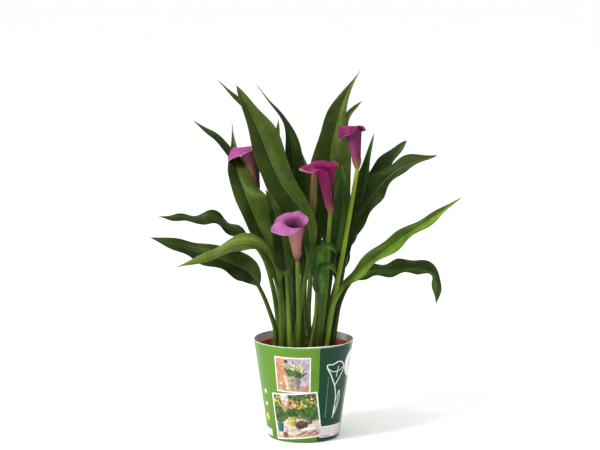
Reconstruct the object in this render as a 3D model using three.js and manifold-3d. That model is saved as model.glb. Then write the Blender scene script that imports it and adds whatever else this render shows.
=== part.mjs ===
// A potted calla lily. Three tubers stand in the soil of a terracotta-coloured nursery pot, which stands in
// a tapered pot cover. Leaves and flower stalks rise from the tubers; each stalk carries a rolled spathe
// round a spadix, and one a closed bud. Millimetres, +Z up, origin in the middle of the cover's underside.
import * as THREE from "three";
import { mergeVertices } from "three/addons/utils/BufferGeometryUtils.js";
import Module from "manifold-3d";

const wasm = await Module();
wasm.setup();

// ---------------------------------------------------------------- driving dimensions
const FIT = 0.3; // clearance between two pieces that touch
const COVER = { rimRadius: 67.5, footRadius: 48.6, height: 134, wall: 1.2, floor: 1.6, footRound: 4 };
const NURSERY = { rimDrop: 9, sideGap: 3, wall: 1.4, floor: 1.6, lipReach: 1.6, lipDepth: 7 };
const DRAIN = { count: 6, radius: 4, ring: 26 };
const SOIL = { drop: 12, sideGap: 0.6, edge: 1.5 }; // drop: below the pot's rim; edge: outside the roots
const TUBER = { height: 24, depth: 38 }; // depth: of its flat top under the soil
const PETIOLE = { radius: 4.1, neck: 2.7 }; // neck: where the blade starts
const BLADE = { thickness: 1.2, tip: 0.45 };
const STALK = { radius: 3.6, top: 2.8 };
const SPATHE = { wall: 1.2, base: 4.4, throat: 11.5, tube: 55, seamLip: 10, tipLip: 24, tail: 7, floor: 3 };
const SPADIX = { radius: 3, neck: 2, length: 30 };
const BUD = { radius: 4.6, neck: 3.2, length: 60 };
const PLANT = { height: 379, reach: 186 }; // of the tallest leaf above the soil; from a root out to its tip

// Facets: enough to show each shape.
const ROUND = 40;
const SECTION = 8; // corners of a leaf's or a stalk's section
const PETIOLE_STEPS = 5;
const BLADE_STEPS = 10;
const STALK_STEPS = 8;
const SPATHE_SIDES = 14;
const TUBE_STEPS = 3;
const LIP_STEPS = 4;
const SMALL_ROUND = 12;

const MATERIALS = {
  cover: new THREE.MeshStandardMaterial({ color: 0x5fa32f, roughness: 0.45, metalness: 0 }),
  nursery: new THREE.MeshStandardMaterial({ color: 0xb5503f, roughness: 0.6, metalness: 0 }),
  soil: new THREE.MeshStandardMaterial({ color: 0x2b2019, roughness: 1, metalness: 0 }),
  tuber: new THREE.MeshStandardMaterial({ color: 0x8a6a48, roughness: 0.9, metalness: 0 }),
  leaf: new THREE.MeshStandardMaterial({ color: 0x33501f, roughness: 0.4, metalness: 0 }),
  stalk: new THREE.MeshStandardMaterial({ color: 0x86a132, roughness: 0.45, metalness: 0 }),
  spathe: new THREE.MeshStandardMaterial({ color: 0xb0479b, roughness: 0.45, metalness: 0 }),
  spadix: new THREE.MeshStandardMaterial({ color: 0xe0b23c, roughness: 0.8, metalness: 0 }),
  bud: new THREE.MeshStandardMaterial({ color: 0xa9764b, roughness: 0.5, metalness: 0 }),
};

// ---------------------------------------------------------------- what follows from them
const nurseryFoot = COVER.floor + FIT;
const nurseryRim = COVER.height - NURSERY.rimDrop;
const soilTop = nurseryRim - SOIL.drop;
const soilFoot = nurseryFoot + NURSERY.floor + FIT;
const tuberTop = soilTop - TUBER.depth;

// The stems' roots stand in rings a pitch apart round each tuber's middle. The pitch is half-way between the
// closest that keeps neighbours apart and the widest that keeps them all in the soil.
const TUBER_PITCHES = 2.5; // from the pot's axis to a tuber's middle
const RING_PITCHES = [0, 1, 1.96];
const closest = 2 * (PETIOLE.radius + FIT);
const widest = (soilRadius(tuberTop) - SOIL.edge - PETIOLE.radius) / (TUBER_PITCHES + RING_PITCHES.at(-1));
const pitch = mix(closest, widest, 0.5);
const tuberRing = TUBER_PITCHES * pitch;
const tuberRadius = tuberRing * Math.sin(Math.PI / 3) - 2 * FIT; // three of them just clear each other

// Outer radii at a height: the cover's, the nursery pot's, which stands inside it, and the soil's in that.
function coverRadius(z) {
  const share = (z - COVER.footRound) / (COVER.height - COVER.footRound);
  return mix(COVER.footRadius, COVER.rimRadius, share);
}

function nurseryRadius(z) {
  return coverRadius(z) - COVER.wall - NURSERY.sideGap;
}

function soilRadius(z) {
  return nurseryRadius(z) - NURSERY.wall - SOIL.sideGap;
}

// ---------------------------------------------------------------- helpers
const plant = new THREE.Group();

function add(name, geometry, material, parent = plant) {
  const mesh = new THREE.Mesh(geometry, material);
  mesh.name = name;
  parent.add(mesh);
  return mesh;
}

function mix(start, end, share) {
  return start + (end - start) * share;
}

function smooth(share) {
  return THREE.MathUtils.smoothstep(share, 0, 1);
}

function radians(degrees) {
  return THREE.MathUtils.degToRad(degrees);
}

function vector([x, y, z]) {
  return new THREE.Vector3(x, y, z);
}

// A closed skin over rings of equal count, each anticlockwise about the way that the rings advance. Its two
// halves are split into triangles as mirror images, so that both sides of a thin blade bend along one line.
function loft(rings) {
  const count = rings[0].length;
  const points = rings.flat();
  const start = points.push(middle(rings[0])) - 1;
  const end = points.push(middle(rings.at(-1))) - 1;
  const last = (rings.length - 1) * count;
  const faces = [];
  for (let i = 0; i < count; i++) {
    const j = (i + 1) % count;
    for (let r = 0; r < last; r += count) {
      const [a, b, c, d] = [r + i, r + j, r + count + j, r + count + i];
      faces.push(...(2 * i < count ? [a, b, d, b, c, d] : [a, b, c, a, c, d]));
    }
    faces.push(start, j, i);
    faces.push(end, last + i, last + j);
  }
  return new THREE.BufferGeometry().setFromPoints(points).setIndex(faces);
}

function middle(ring) {
  return ring.reduce((sum, p) => sum.add(p), new THREE.Vector3()).divideScalar(ring.length);
}

function lathe(profile, sides = ROUND) {
  const points = profile.map(([r, z]) => new THREE.Vector2(r, z));
  return new THREE.LatheGeometry(points, sides).rotateX(Math.PI / 2);
}

// Points of a quarter turn from pointing down to pointing out, round (r, z).
function quarter(r, z, across, down, steps = 3) {
  return Array.from({ length: steps + 1 }, (_, i) => {
    const turn = (Math.PI / 2) * (i / steps);
    return [r + across * Math.sin(turn), z - down * Math.cos(turn)];
  });
}

function toSolid(geometry) {
  const bare = geometry.clone();
  bare.deleteAttribute("normal");
  bare.deleteAttribute("uv");
  const merged = mergeVertices(bare, 1e-4);
  const vertProperties = merged.attributes.position.array;
  const triVerts = new Uint32Array(merged.index.array);
  return new wasm.Manifold(new wasm.Mesh({ numProp: 3, vertProperties, triVerts }));
}

function toGeometry(solid) {
  const mesh = solid.getMesh();
  return new THREE.BufferGeometry()
    .setAttribute("position", new THREE.BufferAttribute(mesh.vertProperties, 3))
    .setIndex(new THREE.BufferAttribute(mesh.triVerts, 1));
}

// ---------------------------------------------------------------- leaves, flowers: where each one runs
// root: [tuber, ring, angle], its place in the fan over a tuber.
// spine: points [outwards along X, along Y, height above the soil] from its root.
// faces: where the upper side looks, at the blade's start and at its tip.
// blade: from, the share of the length that is petiole; half, the widest half-width; belly, how far up the
// blade that lies; point, how drawn out the tip is; fold, the angle of each half to the keel; wave and
// waves, the depth and number of its ripples.
const LEAVES = [
  {
    name: "leaf_left_long", root: ["left", 2, 175], faces: [[-0.3, -1, 0.5], [0, -0.75, 0.65]],
    blade: { from: 0.46, half: 16.5, belly: 0.24, fold: 12, wave: 2.5, waves: 2 },
    spine: [[2, -2, 32], [-6, -8, 61], [-17, -12, 89], [-32, -16, 114], [-54, -22, 127],
      [-81, -28, 139], [-121, -36, 152], [-162, -44, 166]],
  },
  {
    name: "leaf_left_front_drooping", root: ["left", 2, 245], faces: [[0.5, -0.7, 0.9], [-0.2, -0.7, 0.8]],
    blade: { from: 0.42, half: 13, belly: 0.3, fold: 14, wave: 1.5, waves: 2 },
    spine: [[-1, -7, 46], [-4, -15, 94], [-10, -21, 126], [-24, -29, 150], [-43, -37, 160],
      [-65, -45, 158], [-93, -55, 145], [-135, -67, 134]],
  },
  {
    name: "leaf_left_upper", root: ["left", 2, 140], faces: [[0.3, -0.7, 0.9], [0.1, -0.7, 0.8]],
    blade: { from: 0.6, half: 10, fold: 14, wave: 2.5, waves: 2 },
    spine: [[1, 6, 37], [-7, 12, 91], [-20, 18, 130], [-39, 24, 152], [-64, 28, 166], [-88, 32, 177],
      [-118, 35, 178], [-162, 38, 181]],
  },
  {
    name: "leaf_left_broad", root: ["left", 1, 210], faces: [[0.3, -1, 0.3], [0.4, -1, 0.1]],
    blade: { from: 0.46, half: 18.5, belly: 0.36, point: 2.2, fold: 22, wave: 2, waves: 2.5 },
    spine: [[3, -5, 53], [-3, -13, 99], [-15, -17, 144], [-32, -15, 182], [-49, -3, 222],
      [-61, 22, 251], [-66, 49, 279], [-68, 68, 306]],
  },
  {
    name: "leaf_left_back_high", root: ["left", 1, 90], faces: [[0.5, -0.7, 0.5], [0.6, -0.7, 0.5]],
    blade: { from: 0.6, half: 9, fold: 24, wave: 1, waves: 2 },
    spine: [[-5, 12, 36], [-19, 28, 109], [-41, 44, 183], [-58, 52, 230], [-77, 58, 263],
      [-97, 62, 283], [-129, 66, 309]],
  },
  {
    name: "leaf_left_narrow_tall", root: ["back", 2, 160], faces: [[0.9, -0.5, 0.2], [0.8, -0.5, 0.4]],
    blade: { from: 0.56, half: 9, fold: 24, wave: 1, waves: 2 },
    spine: [[-6, 1, 32], [-11, 12, 107], [-17, 23, 181], [-28, 31, 249], [-47, 35, 304], [-69, 37, 332],
      [-99, 39, 364]],
  },
  {
    name: "leaf_centre_giant", root: ["left", 1, 330], faces: [[-0.3, -1, 0.1], [0.45, -1, 0.35]],
    blade: { from: 0.4, half: 19, belly: 0.58, fold: 22, wave: 1.5, waves: 1.5 },
    spine: [[5, -3, 47], [12, -9, 91], [19, -13, 135], [19, -13, 175], [6, -9, 204], [-14, -5, 229],
      [-30, -1, 261], [-48, 5, 304], [-77, 17, 362]],
  },
  {
    name: "leaf_centre_hooked", root: ["left", 1, 30], faces: [[0, -1, 0.1], [1, -0.2, 0.6]],
    blade: { from: 0.55, half: 14, belly: 0.3, point: 2.2, fold: 22, wave: 1, waves: 2 },
    spine: [[1, 7, 42], [-1, 15, 126], [-1, 19, 200], [-1, 22, 254], [-6, 25, 288], [-17, 29, 316],
      [-33, 34, 337], [-50, 39, 360]],
  },
  {
    name: "leaf_back_left_tall", root: ["back", 1, 150], faces: [[0.3, -1, 0.2], [0.4, -1, 0.4]],
    blade: { from: 0.55, half: 10, fold: 20, wave: 1, waves: 2 },
    spine: [[-8, 12, 35], [-15, 32, 116], [-26, 51, 200], [-43, 62, 254], [-66, 68, 290]],
  },
  {
    name: "leaf_back_middle_tall", root: ["back", 1, 210], faces: [[0, -1, 0.2], [-0.5, -1, 0.3]],
    blade: { from: 0.55, half: 9, fold: 20, wave: 1, waves: 2 },
    spine: [[-2, 5, 38], [-9, 17, 119], [-22, 29, 202], [-27, 35, 256], [-26, 41, 311]],
  },
  {
    name: "leaf_front_left_short", root: ["left", 2, 280], faces: [[0.2, -1, 0.15], [0.4, -1, 0.2]],
    blade: { from: 0.56, half: 14, fold: 20, wave: 1.5, waves: 2 },
    spine: [[-2, -7, 50], [-4, -11, 94], [-7, -15, 132], [-12, -19, 169], [-21, -19, 199],
      [-32, -15, 228]],
  },
  {
    name: "leaf_front_curled_upper", root: ["right", 2, 225], faces: [[-0.2, -1, 0.4], [0.6, -0.8, 0.8]],
    petiole: 3.4,
    blade: { from: 0.69, half: 9, fold: 24, wave: 1.5, waves: 1.5 },
    spine: [[8, -12, 50], [10, -20, 95], [9, -26, 129], [14, -30, 149], [24, -34, 156], [34, -36, 148]],
  },
  {
    name: "leaf_front_curled_lower", root: ["right", 2, 260], faces: [[-0.3, -1, 0.4], [0.5, -0.8, 0.8]],
    petiole: 3.4,
    blade: { from: 0.67, half: 8, fold: 24, wave: 1.5, waves: 1.5 },
    spine: [[4, -13, 51], [4, -27, 89], [2, -35, 114], [8, -43, 129], [18, -47, 131], [24, -47, 122]],
  },
  {
    name: "leaf_right_tallest", root: ["right", 1, 90], faces: [[0, -1, 0.1], [-0.6, -1, 0.2]],
    blade: { from: 0.42, half: 26, belly: 0.43, point: 2, fold: 16, wave: 1.5, waves: 2 },
    spine: [[4, 8, 44], [11, 18, 111], [15, 24, 172], [16, 29, 233], [17, 32, 273], [23, 34, 303],
      [30, 36, 331], [39, 38, 353], [55, 40, 379]],
  },
  {
    name: "leaf_right_front_pointed", root: ["right", 0, 0], faces: [[-0.2, -1, 0.1], [-0.3, -1, 0.2]],
    blade: { from: 0.58, half: 11, belly: 0.45, fold: 24, wave: 1, waves: 2 },
    spine: [[7, 1, 45], [13, 2, 88], [18, 3, 126], [25, 3, 163], [31, 4, 196], [33, 5, 223],
      [30, 7, 254]],
  },
  {
    name: "leaf_right_back_tip", root: ["back", 1, 330], faces: [[0, -1, 0.2], [-0.3, -1, 0.4]],
    blade: { from: 0.58, half: 10, fold: 20, wave: 1, waves: 2 },
    spine: [[10, 9, 37], [20, 27, 117], [28, 41, 201], [39, 49, 269], [51, 54, 313], [71, 59, 335]],
  },
  {
    name: "leaf_right_slim_upright", root: ["right", 1, 30], faces: [[-0.5, -1, 0.1], [-0.6, -1, 0.2]],
    blade: { from: 0.5, half: 9, fold: 26, wave: 1, waves: 2 },
    spine: [[6, 9, 42], [17, 21, 91], [32, 31, 151], [45, 39, 198], [54, 46, 242], [66, 53, 293]],
  },
  {
    name: "leaf_right_back_wide", root: ["right", 2, 40], faces: [[-0.5, -0.9, 0.4], [-0.5, -0.8, 0.5]],
    blade: { from: 0.56, half: 14, belly: 0.5, point: 0.9, fold: 18, wave: 1.5, waves: 2 },
    spine: [[3, 12, 43], [13, 28, 89], [27, 42, 142], [42, 52, 191], [63, 60, 232], [84, 68, 257],
      [106, 76, 281]],
  },
  {
    name: "leaf_right_broad", root: ["right", 2, 5], faces: [[-0.6, -1, 0.3], [-0.4, -0.8, 0.8]],
    blade: { from: 0.46, half: 15, belly: 0.5, fold: 18, wave: 2.5, waves: 2.5 },
    spine: [[2, 3, 47], [9, 5, 90], [17, 7, 134], [29, 6, 174], [46, 4, 206], [65, 1, 232],
      [92, -3, 255], [137, -10, 271]],
  },
  {
    name: "leaf_right_back_low", root: ["back", 2, 20], faces: [[-0.6, -0.7, 0.6], [-0.4, -0.3, 0.9]],
    blade: { from: 0.56, half: 11, fold: 16, wave: 1.5, waves: 2 },
    spine: [[12, 7, 35], [28, 25, 91], [45, 39, 138], [58, 49, 160], [72, 57, 176]],
  },
  {
    name: "leaf_right_long", root: ["right", 2, 295], faces: [[-0.7, -0.8, 0.5], [-0.3, -0.8, 0.6]],
    blade: { from: 0.36, half: 10.5, belly: 0.42, fold: 14, wave: 2, waves: 2.5 },
    spine: [[5, -6, 44], [11, -11, 75], [23, -16, 98], [46, -24, 122], [78, -35, 150], [111, -47, 177],
      [143, -57, 200], [174, -67, 224]],
  },
  {
    name: "leaf_right_drooping", root: ["right", 2, 330], faces: [[-0.5, -0.8, 0.6], [0.6, -0.8, 0.5]],
    blade: { from: 0.44, half: 10, belly: 0.45, point: 0.7, fold: 12, wave: 3, waves: 3 },
    spine: [[6, -1, 47], [12, -6, 77], [26, -9, 104], [48, -13, 117], [84, -18, 122], [119, -24, 124],
      [136, -28, 114], [138, -32, 78]],
  },
  {
    name: "leaf_back_arching_left", root: ["back", 2, 125], faces: [[0.2, -0.8, 0.7], [0, -0.1, 1]],
    blade: { from: 0.42, half: 17, fold: 16, wave: 2, waves: 2 },
    spine: [[-5, 15, 48], [-15, 41, 112], [-28, 67, 160], [-43, 92, 172], [-55, 120, 158]],
  },
  {
    name: "leaf_back_arching_middle", root: ["back", 2, 90], faces: [[0, -0.8, 0.7], [0, -0.1, 1]],
    blade: { from: 0.42, half: 18, fold: 16, wave: 2, waves: 2 },
    spine: [[1, 11, 53], [4, 41, 128], [8, 70, 186], [12, 99, 204], [14, 129, 190]],
  },
  {
    name: "leaf_back_arching_right", root: ["back", 2, 55], faces: [[-0.2, -0.8, 0.7], [0, -0.1, 1]],
    blade: { from: 0.42, half: 16, fold: 16, wave: 2, waves: 2 },
    spine: [[7, 12, 48], [19, 34, 104], [33, 62, 142], [49, 88, 150], [63, 110, 134]],
  },
  {
    name: "leaf_back_upright", root: ["back", 1, 90], faces: [[0, -0.9, 0.3], [0, -0.6, 0.6]],
    blade: { from: 0.42, half: 18, fold: 18, wave: 1.5, waves: 2 },
    spine: [[-2, 8, 53], [-2, 28, 138], [-4, 50, 208], [-8, 70, 252], [-12, 90, 280]],
  },
];

// axis: the way a flower opens. tip: the side where its lip is drawn out, across from the seam.
// roll: how far the lip turns over at the seam and at the tip, in degrees from the axis.
const FLOWERS = [
  {
    name: "left", root: ["left", 1, 150], size: 1.06, axis: [-11, 3, 60], tip: [-1, -0.15, 0],
    roll: { seam: 30, tip: 112 },
    spine: [[0, -1, 44], [-5, 1, 95], [-16, 6, 155], [-33, 13, 217]],
  },
  {
    name: "centre", root: ["right", 1, 270], size: 1.03, axis: [-7, -12, 60], tip: [-1, -0.35, 0],
    roll: { seam: 20, tip: 84 },
    spine: [[4, -7, 48], [9, -11, 99], [11, -14, 149], [14, -16, 197]],
  },
  {
    name: "front", root: ["left", 2, 315], size: 1.03, axis: [-3, -27, 50], tip: [-1, -0.3, 0],
    roll: { seam: 40, tip: 112 },
    spine: [[1, -13, 50], [0, -24, 96], [-1, -34, 137]],
  },
  {
    name: "right_high", root: ["right", 1, 330], size: 0.97, axis: [-6, 8, 58], tip: [-1, 0.1, 0],
    roll: { seam: 35, tip: 150 },
    spine: [[6, -3, 47], [15, -7, 99], [26, -6, 158], [34, -1, 204], [42, 7, 252]],
  },
];

const BUD_STALK = {
  root: ["right", 1, 150], axis: [1, -1, 60], tip: [-1, 0, 0],
  spine: [[-6, -1, 44], [-3, 1, 115], [0, 2, 197]],
};

// ---------------------------------------------------------------- roots and spines
// Each tuber is the middle of a fan: ring 0 is its middle, ring 1 one pitch out, and ring 2 nearly two.
const TUBER_HEADINGS = { left: 210, right: 330, back: 90 };

function tuberMiddle(name) {
  const heading = radians(TUBER_HEADINGS[name]);
  return new THREE.Vector3(Math.cos(heading) * tuberRing, Math.sin(heading) * tuberRing, tuberTop);
}

function rootOf([tuber, ring, angle]) {
  const out = RING_PITCHES[ring] * pitch;
  const turn = radians(angle);
  return tuberMiddle(tuber).add(new THREE.Vector3(Math.cos(turn) * out, Math.sin(turn) * out, FIT));
}

const drawnHeight = Math.max(...LEAVES.map((leaf) => leaf.spine.at(-1)[2]));
const drawnReach = Math.max(...LEAVES.map((leaf) => Math.hypot(leaf.spine.at(-1)[0], leaf.spine.at(-1)[1])));

// A spine runs straight up through the soil and then bends through its own points.
function spineOf({ root, spine }) {
  const foot = rootOf(root);
  const reach = PLANT.reach / drawnReach;
  const rise = PLANT.height / drawnHeight;
  const points = [foot, foot.clone().setZ(mix(foot.z, soilTop, 0.5)), foot.clone().setZ(soilTop)];
  for (const [x, y, height] of spine) {
    points.push(new THREE.Vector3(foot.x + x * reach, foot.y + y * reach, soilTop + height * rise));
  }
  return new THREE.CatmullRomCurve3(points, false, "centripetal");
}

// What the soil leaves free round each petiole and stalk: the same sections, grown by the clearance.
const sleeves = [];
const SLEEVE = FIT / Math.cos(Math.PI / SECTION);

function addSleeve(rings) {
  for (const corner of rings[0]) corner.z -= FIT;
  sleeves.push(loft(rings));
}

// The sections that bound a sleeve: at the root, half-way up and above the soil.
function sleeveSteps(spine) {
  const length = spine.getLength();
  const buried = TUBER.depth - FIT;
  return [0, buried / 2 / length, (buried + SOIL.drop / 2) / length];
}

// ---------------------------------------------------------------- leaves
const FLATTENING = 0.12; // the share of a blade over which the petiole's round section turns flat
const KEEL_TAPER = 0.6;
const MARGIN_DROOP = 0.35; // how much less the margin rises than a straight fold
const RIPPLE_LAG = 0.8; // between a blade's two margins

// How wide a blade is along its length, as a share of its widest: a quick swell, then a long point.
function outline(b, { belly = 0.36, point = 1.1 }) {
  if (b <= 0) return 0;
  if (b < belly) return Math.pow(1 - Math.pow(1 - b / belly, 2), 0.75);
  return Math.pow(1 - Math.pow((b - belly) / (1 - belly), 1.7), point);
}

// One section of a leaf, grown outwards by grow: round in the petiole, then a folded blade over a keel.
function leafRing({ blade, faces, petiole = PETIOLE.radius }, spine, t, grow = 0) {
  const b = Math.max(0, (t - blade.from) / (1 - blade.from));
  const flat = smooth(b / FLATTENING);
  const along = spine.getTangentAt(t);
  const side = vector(faces[0]).lerp(vector(faces[1]), smooth(b)).cross(along).normalize();
  const up = along.clone().cross(side);
  const core = b > 0
    ? mix(PETIOLE.neck, BLADE.tip, Math.pow(b, KEEL_TAPER))
    : mix(petiole, PETIOLE.neck, smooth(t / blade.from));
  const width = outline(b, blade);
  const wide = Math.hypot(core, blade.half * width) + grow;
  const thin = mix(core, BLADE.thickness / 2, flat) + grow;
  const keel = Math.max(core, BLADE.thickness / 2) + grow;
  const slope = Math.tan(radians(blade.fold));
  return Array.from({ length: SECTION }, (_, i) => {
    const turn = (2 * Math.PI * i) / SECTION;
    const x = wide * Math.cos(turn);
    const share = Math.abs(Math.cos(turn));
    const high = i === (3 * SECTION) / 4 ? keel : thin;
    const phase = 2 * Math.PI * blade.waves * b + Math.sign(x) * RIPPLE_LAG;
    const rise = slope * Math.abs(x) * (1 - MARGIN_DROOP * share);
    const ripple = blade.wave * width * Math.sin(phase) * share * share;
    const y = high * Math.sin(turn) + flat * (rise + ripple);
    return spine.getPointAt(t).addScaledVector(side, x).addScaledVector(up, y);
  });
}

// Where a leaf's sections lie: those in the soil, then up the petiole, then up the blade.
function leafSteps({ blade }, spine) {
  const steps = sleeveSteps(spine);
  const surface = steps.pop();
  for (let i = 0; i < PETIOLE_STEPS; i++) steps.push(mix(surface, blade.from, i / PETIOLE_STEPS));
  for (let i = 0; i <= BLADE_STEPS; i++) steps.push(mix(blade.from, 1, i / BLADE_STEPS));
  return steps;
}

for (const leaf of LEAVES) {
  const spine = spineOf(leaf);
  add(leaf.name, loft(leafSteps(leaf, spine).map((t) => leafRing(leaf, spine, t))), MATERIALS.leaf);
  addSleeve(sleeveSteps(spine).map((t) => leafRing(leaf, spine, t, SLEEVE)));
}

// ---------------------------------------------------------------- flowers
// A stalk's section: a circle that tapers from the soil to the flower. The last one is square to the
// flower's axis, so that the two meet face to face.
function stalkRing(spine, axis, t, grow = 0) {
  const along = t === 1 ? vector(axis).normalize() : spine.getTangentAt(t);
  const side = new THREE.Vector3(0, -1, 0).cross(along).normalize();
  const up = along.clone().cross(side);
  const radius = mix(STALK.radius, STALK.top, smooth(t)) + grow;
  return Array.from({ length: SECTION }, (_, i) => {
    const turn = (2 * Math.PI * i) / SECTION;
    return spine.getPointAt(t)
      .addScaledVector(side, radius * Math.cos(turn))
      .addScaledVector(up, radius * Math.sin(turn));
  });
}

function stalkGeometry(spine, axis) {
  const steps = sleeveSteps(spine);
  addSleeve(steps.map((t) => stalkRing(spine, axis, t, SLEEVE)));
  const surface = steps.pop();
  for (let i = 0; i <= STALK_STEPS; i++) steps.push(mix(surface, 1, i / STALK_STEPS));
  return loft(steps.map((t) => stalkRing(spine, axis, t)));
}

const FLARE = 1.3; // how late the tube widens: 1 is a plain cone
const TAIL_SPREAD = 0.32; // half-angle of the tip's drawn-out tail, in radians
const LIP_FINE = 6; // steps of the roll between two rows of corners

// How far the lip runs out from the throat, by the angle from the tip's side.
function lipLength(turn, size) {
  const nearTip = Math.pow((1 + Math.cos(turn)) / 2, FLARE);
  const tail = SPATHE.tail * Math.exp(-Math.pow(turn / TAIL_SPREAD, 2));
  return size * (mix(SPATHE.seamLip, SPATHE.tipLip, nearTip) + tail);
}

// Points of the spathe's middle surface at an angle, each with its slope from the axis. The tube widens like
// a trumpet, and then the lip turns over, most at the tip's side.
function spatheProfile({ size, roll }, turn) {
  const tube = SPATHE.tube * size;
  const widening = SPATHE.throat * size - SPATHE.base;
  const profile = [];
  for (let i = 0; i <= TUBE_STEPS; i++) {
    const s = i / TUBE_STEPS;
    const slope = Math.atan2(FLARE * widening * Math.pow(s, FLARE - 1), tube);
    profile.push({ r: SPATHE.base + widening * Math.pow(s, FLARE), z: tube * s, slope });
  }
  const count = LIP_STEPS * LIP_FINE;
  const step = lipLength(turn, size) / count;
  const rolled = radians(mix(roll.seam, roll.tip, (1 + Math.cos(turn)) / 2));
  let { r, z } = profile.at(-1);
  const start = profile.at(-1).slope;
  for (let i = 1; i <= count; i++) {
    const slope = mix(start, rolled, smooth((i - 0.5) / count));
    r += step * Math.sin(slope);
    z += step * Math.cos(slope);
    if (i % LIP_FINE === 0) profile.push({ r, z, slope });
  }
  return profile;
}

// The spathe is a cup: its outer skin runs from the floor to the lip's edge, and its inner skin back down.
function spatheGeometry(flower) {
  const turns = Array.from({ length: SPATHE_SIDES }, (_, i) => (2 * Math.PI * i) / SPATHE_SIDES);
  const profiles = turns.map((turn) => spatheProfile(flower, Math.min(turn, 2 * Math.PI - turn)));
  const skin = (row, offset, lift = 0) =>
    turns.map((turn, i) => {
      const { r, z, slope } = profiles[i][row];
      const out = r + offset * Math.cos(slope);
      const height = z - offset * Math.sin(slope) + lift;
      return new THREE.Vector3(out * Math.cos(turn), out * Math.sin(turn), height);
    });
  const half = SPATHE.wall / 2;
  const rows = profiles[0].length;
  const rings = [];
  for (let row = 0; row < rows; row++) rings.push(skin(row, half));
  for (let row = rows - 1; row > 0; row--) rings.push(skin(row, -half));
  rings.push(skin(0, -half, SPATHE.floor));
  return loft(rings);
}

// A flower's own frame on its stalk: +Z along its axis, and +X towards the side of its tip.
function flowerFrame(spine, { axis, tip }) {
  const z = vector(axis).normalize();
  const y = z.clone().cross(vector(tip)).normalize();
  const x = y.clone().cross(z);
  const group = new THREE.Group();
  group.quaternion.setFromRotationMatrix(new THREE.Matrix4().makeBasis(x, y, z));
  group.position.copy(spine.getPointAt(1)).addScaledVector(z, FIT);
  plant.add(group);
  return group;
}

// A round finger with a domed tip, widest a third of the way up.
function finger({ radius, neck, length }) {
  const profile = [[0, 0], [neck, 0]];
  for (const [share, height] of [[0.92, 0.15], [1, 0.35], [0.86, 0.65], [0.6, 0.85], [0.3, 0.96]]) {
    profile.push([radius * share, length * height]);
  }
  profile.push([0, length]);
  return lathe(profile, SMALL_ROUND);
}

for (const flower of FLOWERS) {
  const spine = spineOf(flower);
  add(`flower_stalk_${flower.name}`, stalkGeometry(spine, flower.axis), MATERIALS.stalk);
  const frame = flowerFrame(spine, flower);
  add(`spathe_${flower.name}`, spatheGeometry(flower), MATERIALS.spathe, frame);
  add(`spadix_${flower.name}`, finger(SPADIX), MATERIALS.spadix, frame).position.z = SPATHE.floor + FIT;
}

const budSpine = spineOf(BUD_STALK);
add("flower_stalk_bud", stalkGeometry(budSpine, BUD_STALK.axis), MATERIALS.stalk);
add("bud", finger(BUD), MATERIALS.bud, flowerFrame(budSpine, BUD_STALK));

// ---------------------------------------------------------------- tubers
// A flattened round tuber, grown by grow, whose flat top is at z = 0.
function tuberGeometry(grow = 0) {
  const widest = 0.4; // of its height down
  const profile = [[0, -TUBER.height - grow]];
  for (const [share, depth] of [[0.55, 0.95], [0.9, 0.72], [1, widest], [0.94, 0.12], [0.8, 0]]) {
    profile.push([tuberRadius * share + grow, Math.sign(widest - depth) * grow - TUBER.height * depth]);
  }
  profile.push([0, grow]);
  return lathe(profile, SMALL_ROUND * 2);
}

for (const name of Object.keys(TUBER_HEADINGS)) {
  add(`tuber_${name}`, tuberGeometry(), MATERIALS.tuber).position.copy(tuberMiddle(name));
}

// ---------------------------------------------------------------- pots and soil
function coverGeometry() {
  const { rimRadius, footRadius, height, wall, floor, footRound } = COVER;
  const corner = footRadius - footRound;
  return lathe([
    [0, 0],
    ...quarter(corner, footRound, footRound, footRound),
    [rimRadius, height],
    [rimRadius - wall, height],
    ...quarter(corner, footRound, footRound - wall, footRound - floor).reverse(),
    [0, floor],
  ]);
}

function nurseryGeometry() {
  const { wall, floor, lipReach, lipDepth } = NURSERY;
  const lipFoot = nurseryRim - lipDepth;
  const inside = nurseryFoot + floor;
  let pot = toSolid(lathe([
    [0, nurseryFoot],
    [nurseryRadius(nurseryFoot) - wall, nurseryFoot],
    [nurseryRadius(inside), inside],
    [nurseryRadius(lipFoot), lipFoot],
    [nurseryRadius(lipFoot) + lipReach, lipFoot],
    [nurseryRadius(nurseryRim) + lipReach, nurseryRim],
    [nurseryRadius(nurseryRim) - wall, nurseryRim],
    [nurseryRadius(inside) - wall, inside],
    [0, inside],
  ]));
  for (let i = 0; i < DRAIN.count; i++) {
    const turn = (2 * Math.PI * i) / DRAIN.count;
    const hole = new THREE.CylinderGeometry(DRAIN.radius, DRAIN.radius, 4 * floor, SMALL_ROUND);
    hole.rotateX(Math.PI / 2);
    hole.translate(DRAIN.ring * Math.cos(turn), DRAIN.ring * Math.sin(turn), nurseryFoot);
    pot = pot.subtract(toSolid(hole));
  }
  return toGeometry(pot);
}

function soilGeometry() {
  const [foot, top] = [soilRadius(soilFoot), soilRadius(soilTop)];
  let soil = toSolid(lathe([[0, soilFoot], [foot, soilFoot], [top, soilTop], [0, soilTop]]));
  for (const name of Object.keys(TUBER_HEADINGS)) {
    soil = soil.subtract(toSolid(tuberGeometry(FIT).translate(...tuberMiddle(name).toArray())));
  }
  for (const sleeve of sleeves) soil = soil.subtract(toSolid(sleeve));
  return toGeometry(soil);
}

add("pot_cover", coverGeometry(), MATERIALS.cover);
add("nursery_pot", nurseryGeometry(), MATERIALS.nursery);
add("soil", soilGeometry(), MATERIALS.soil);

export default plant;
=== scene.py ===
"""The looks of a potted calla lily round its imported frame.

Leaves, stalks and flowers are fine surfaces on the same spines as the frame's solids. The pots, the soil and
the cover's print are surfaces of revolution with their own detail. Sizes here are in millimetres, and they
become metres where a surface becomes a mesh. +Z is up, and the front of the pot looks along -Y.
"""

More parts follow.
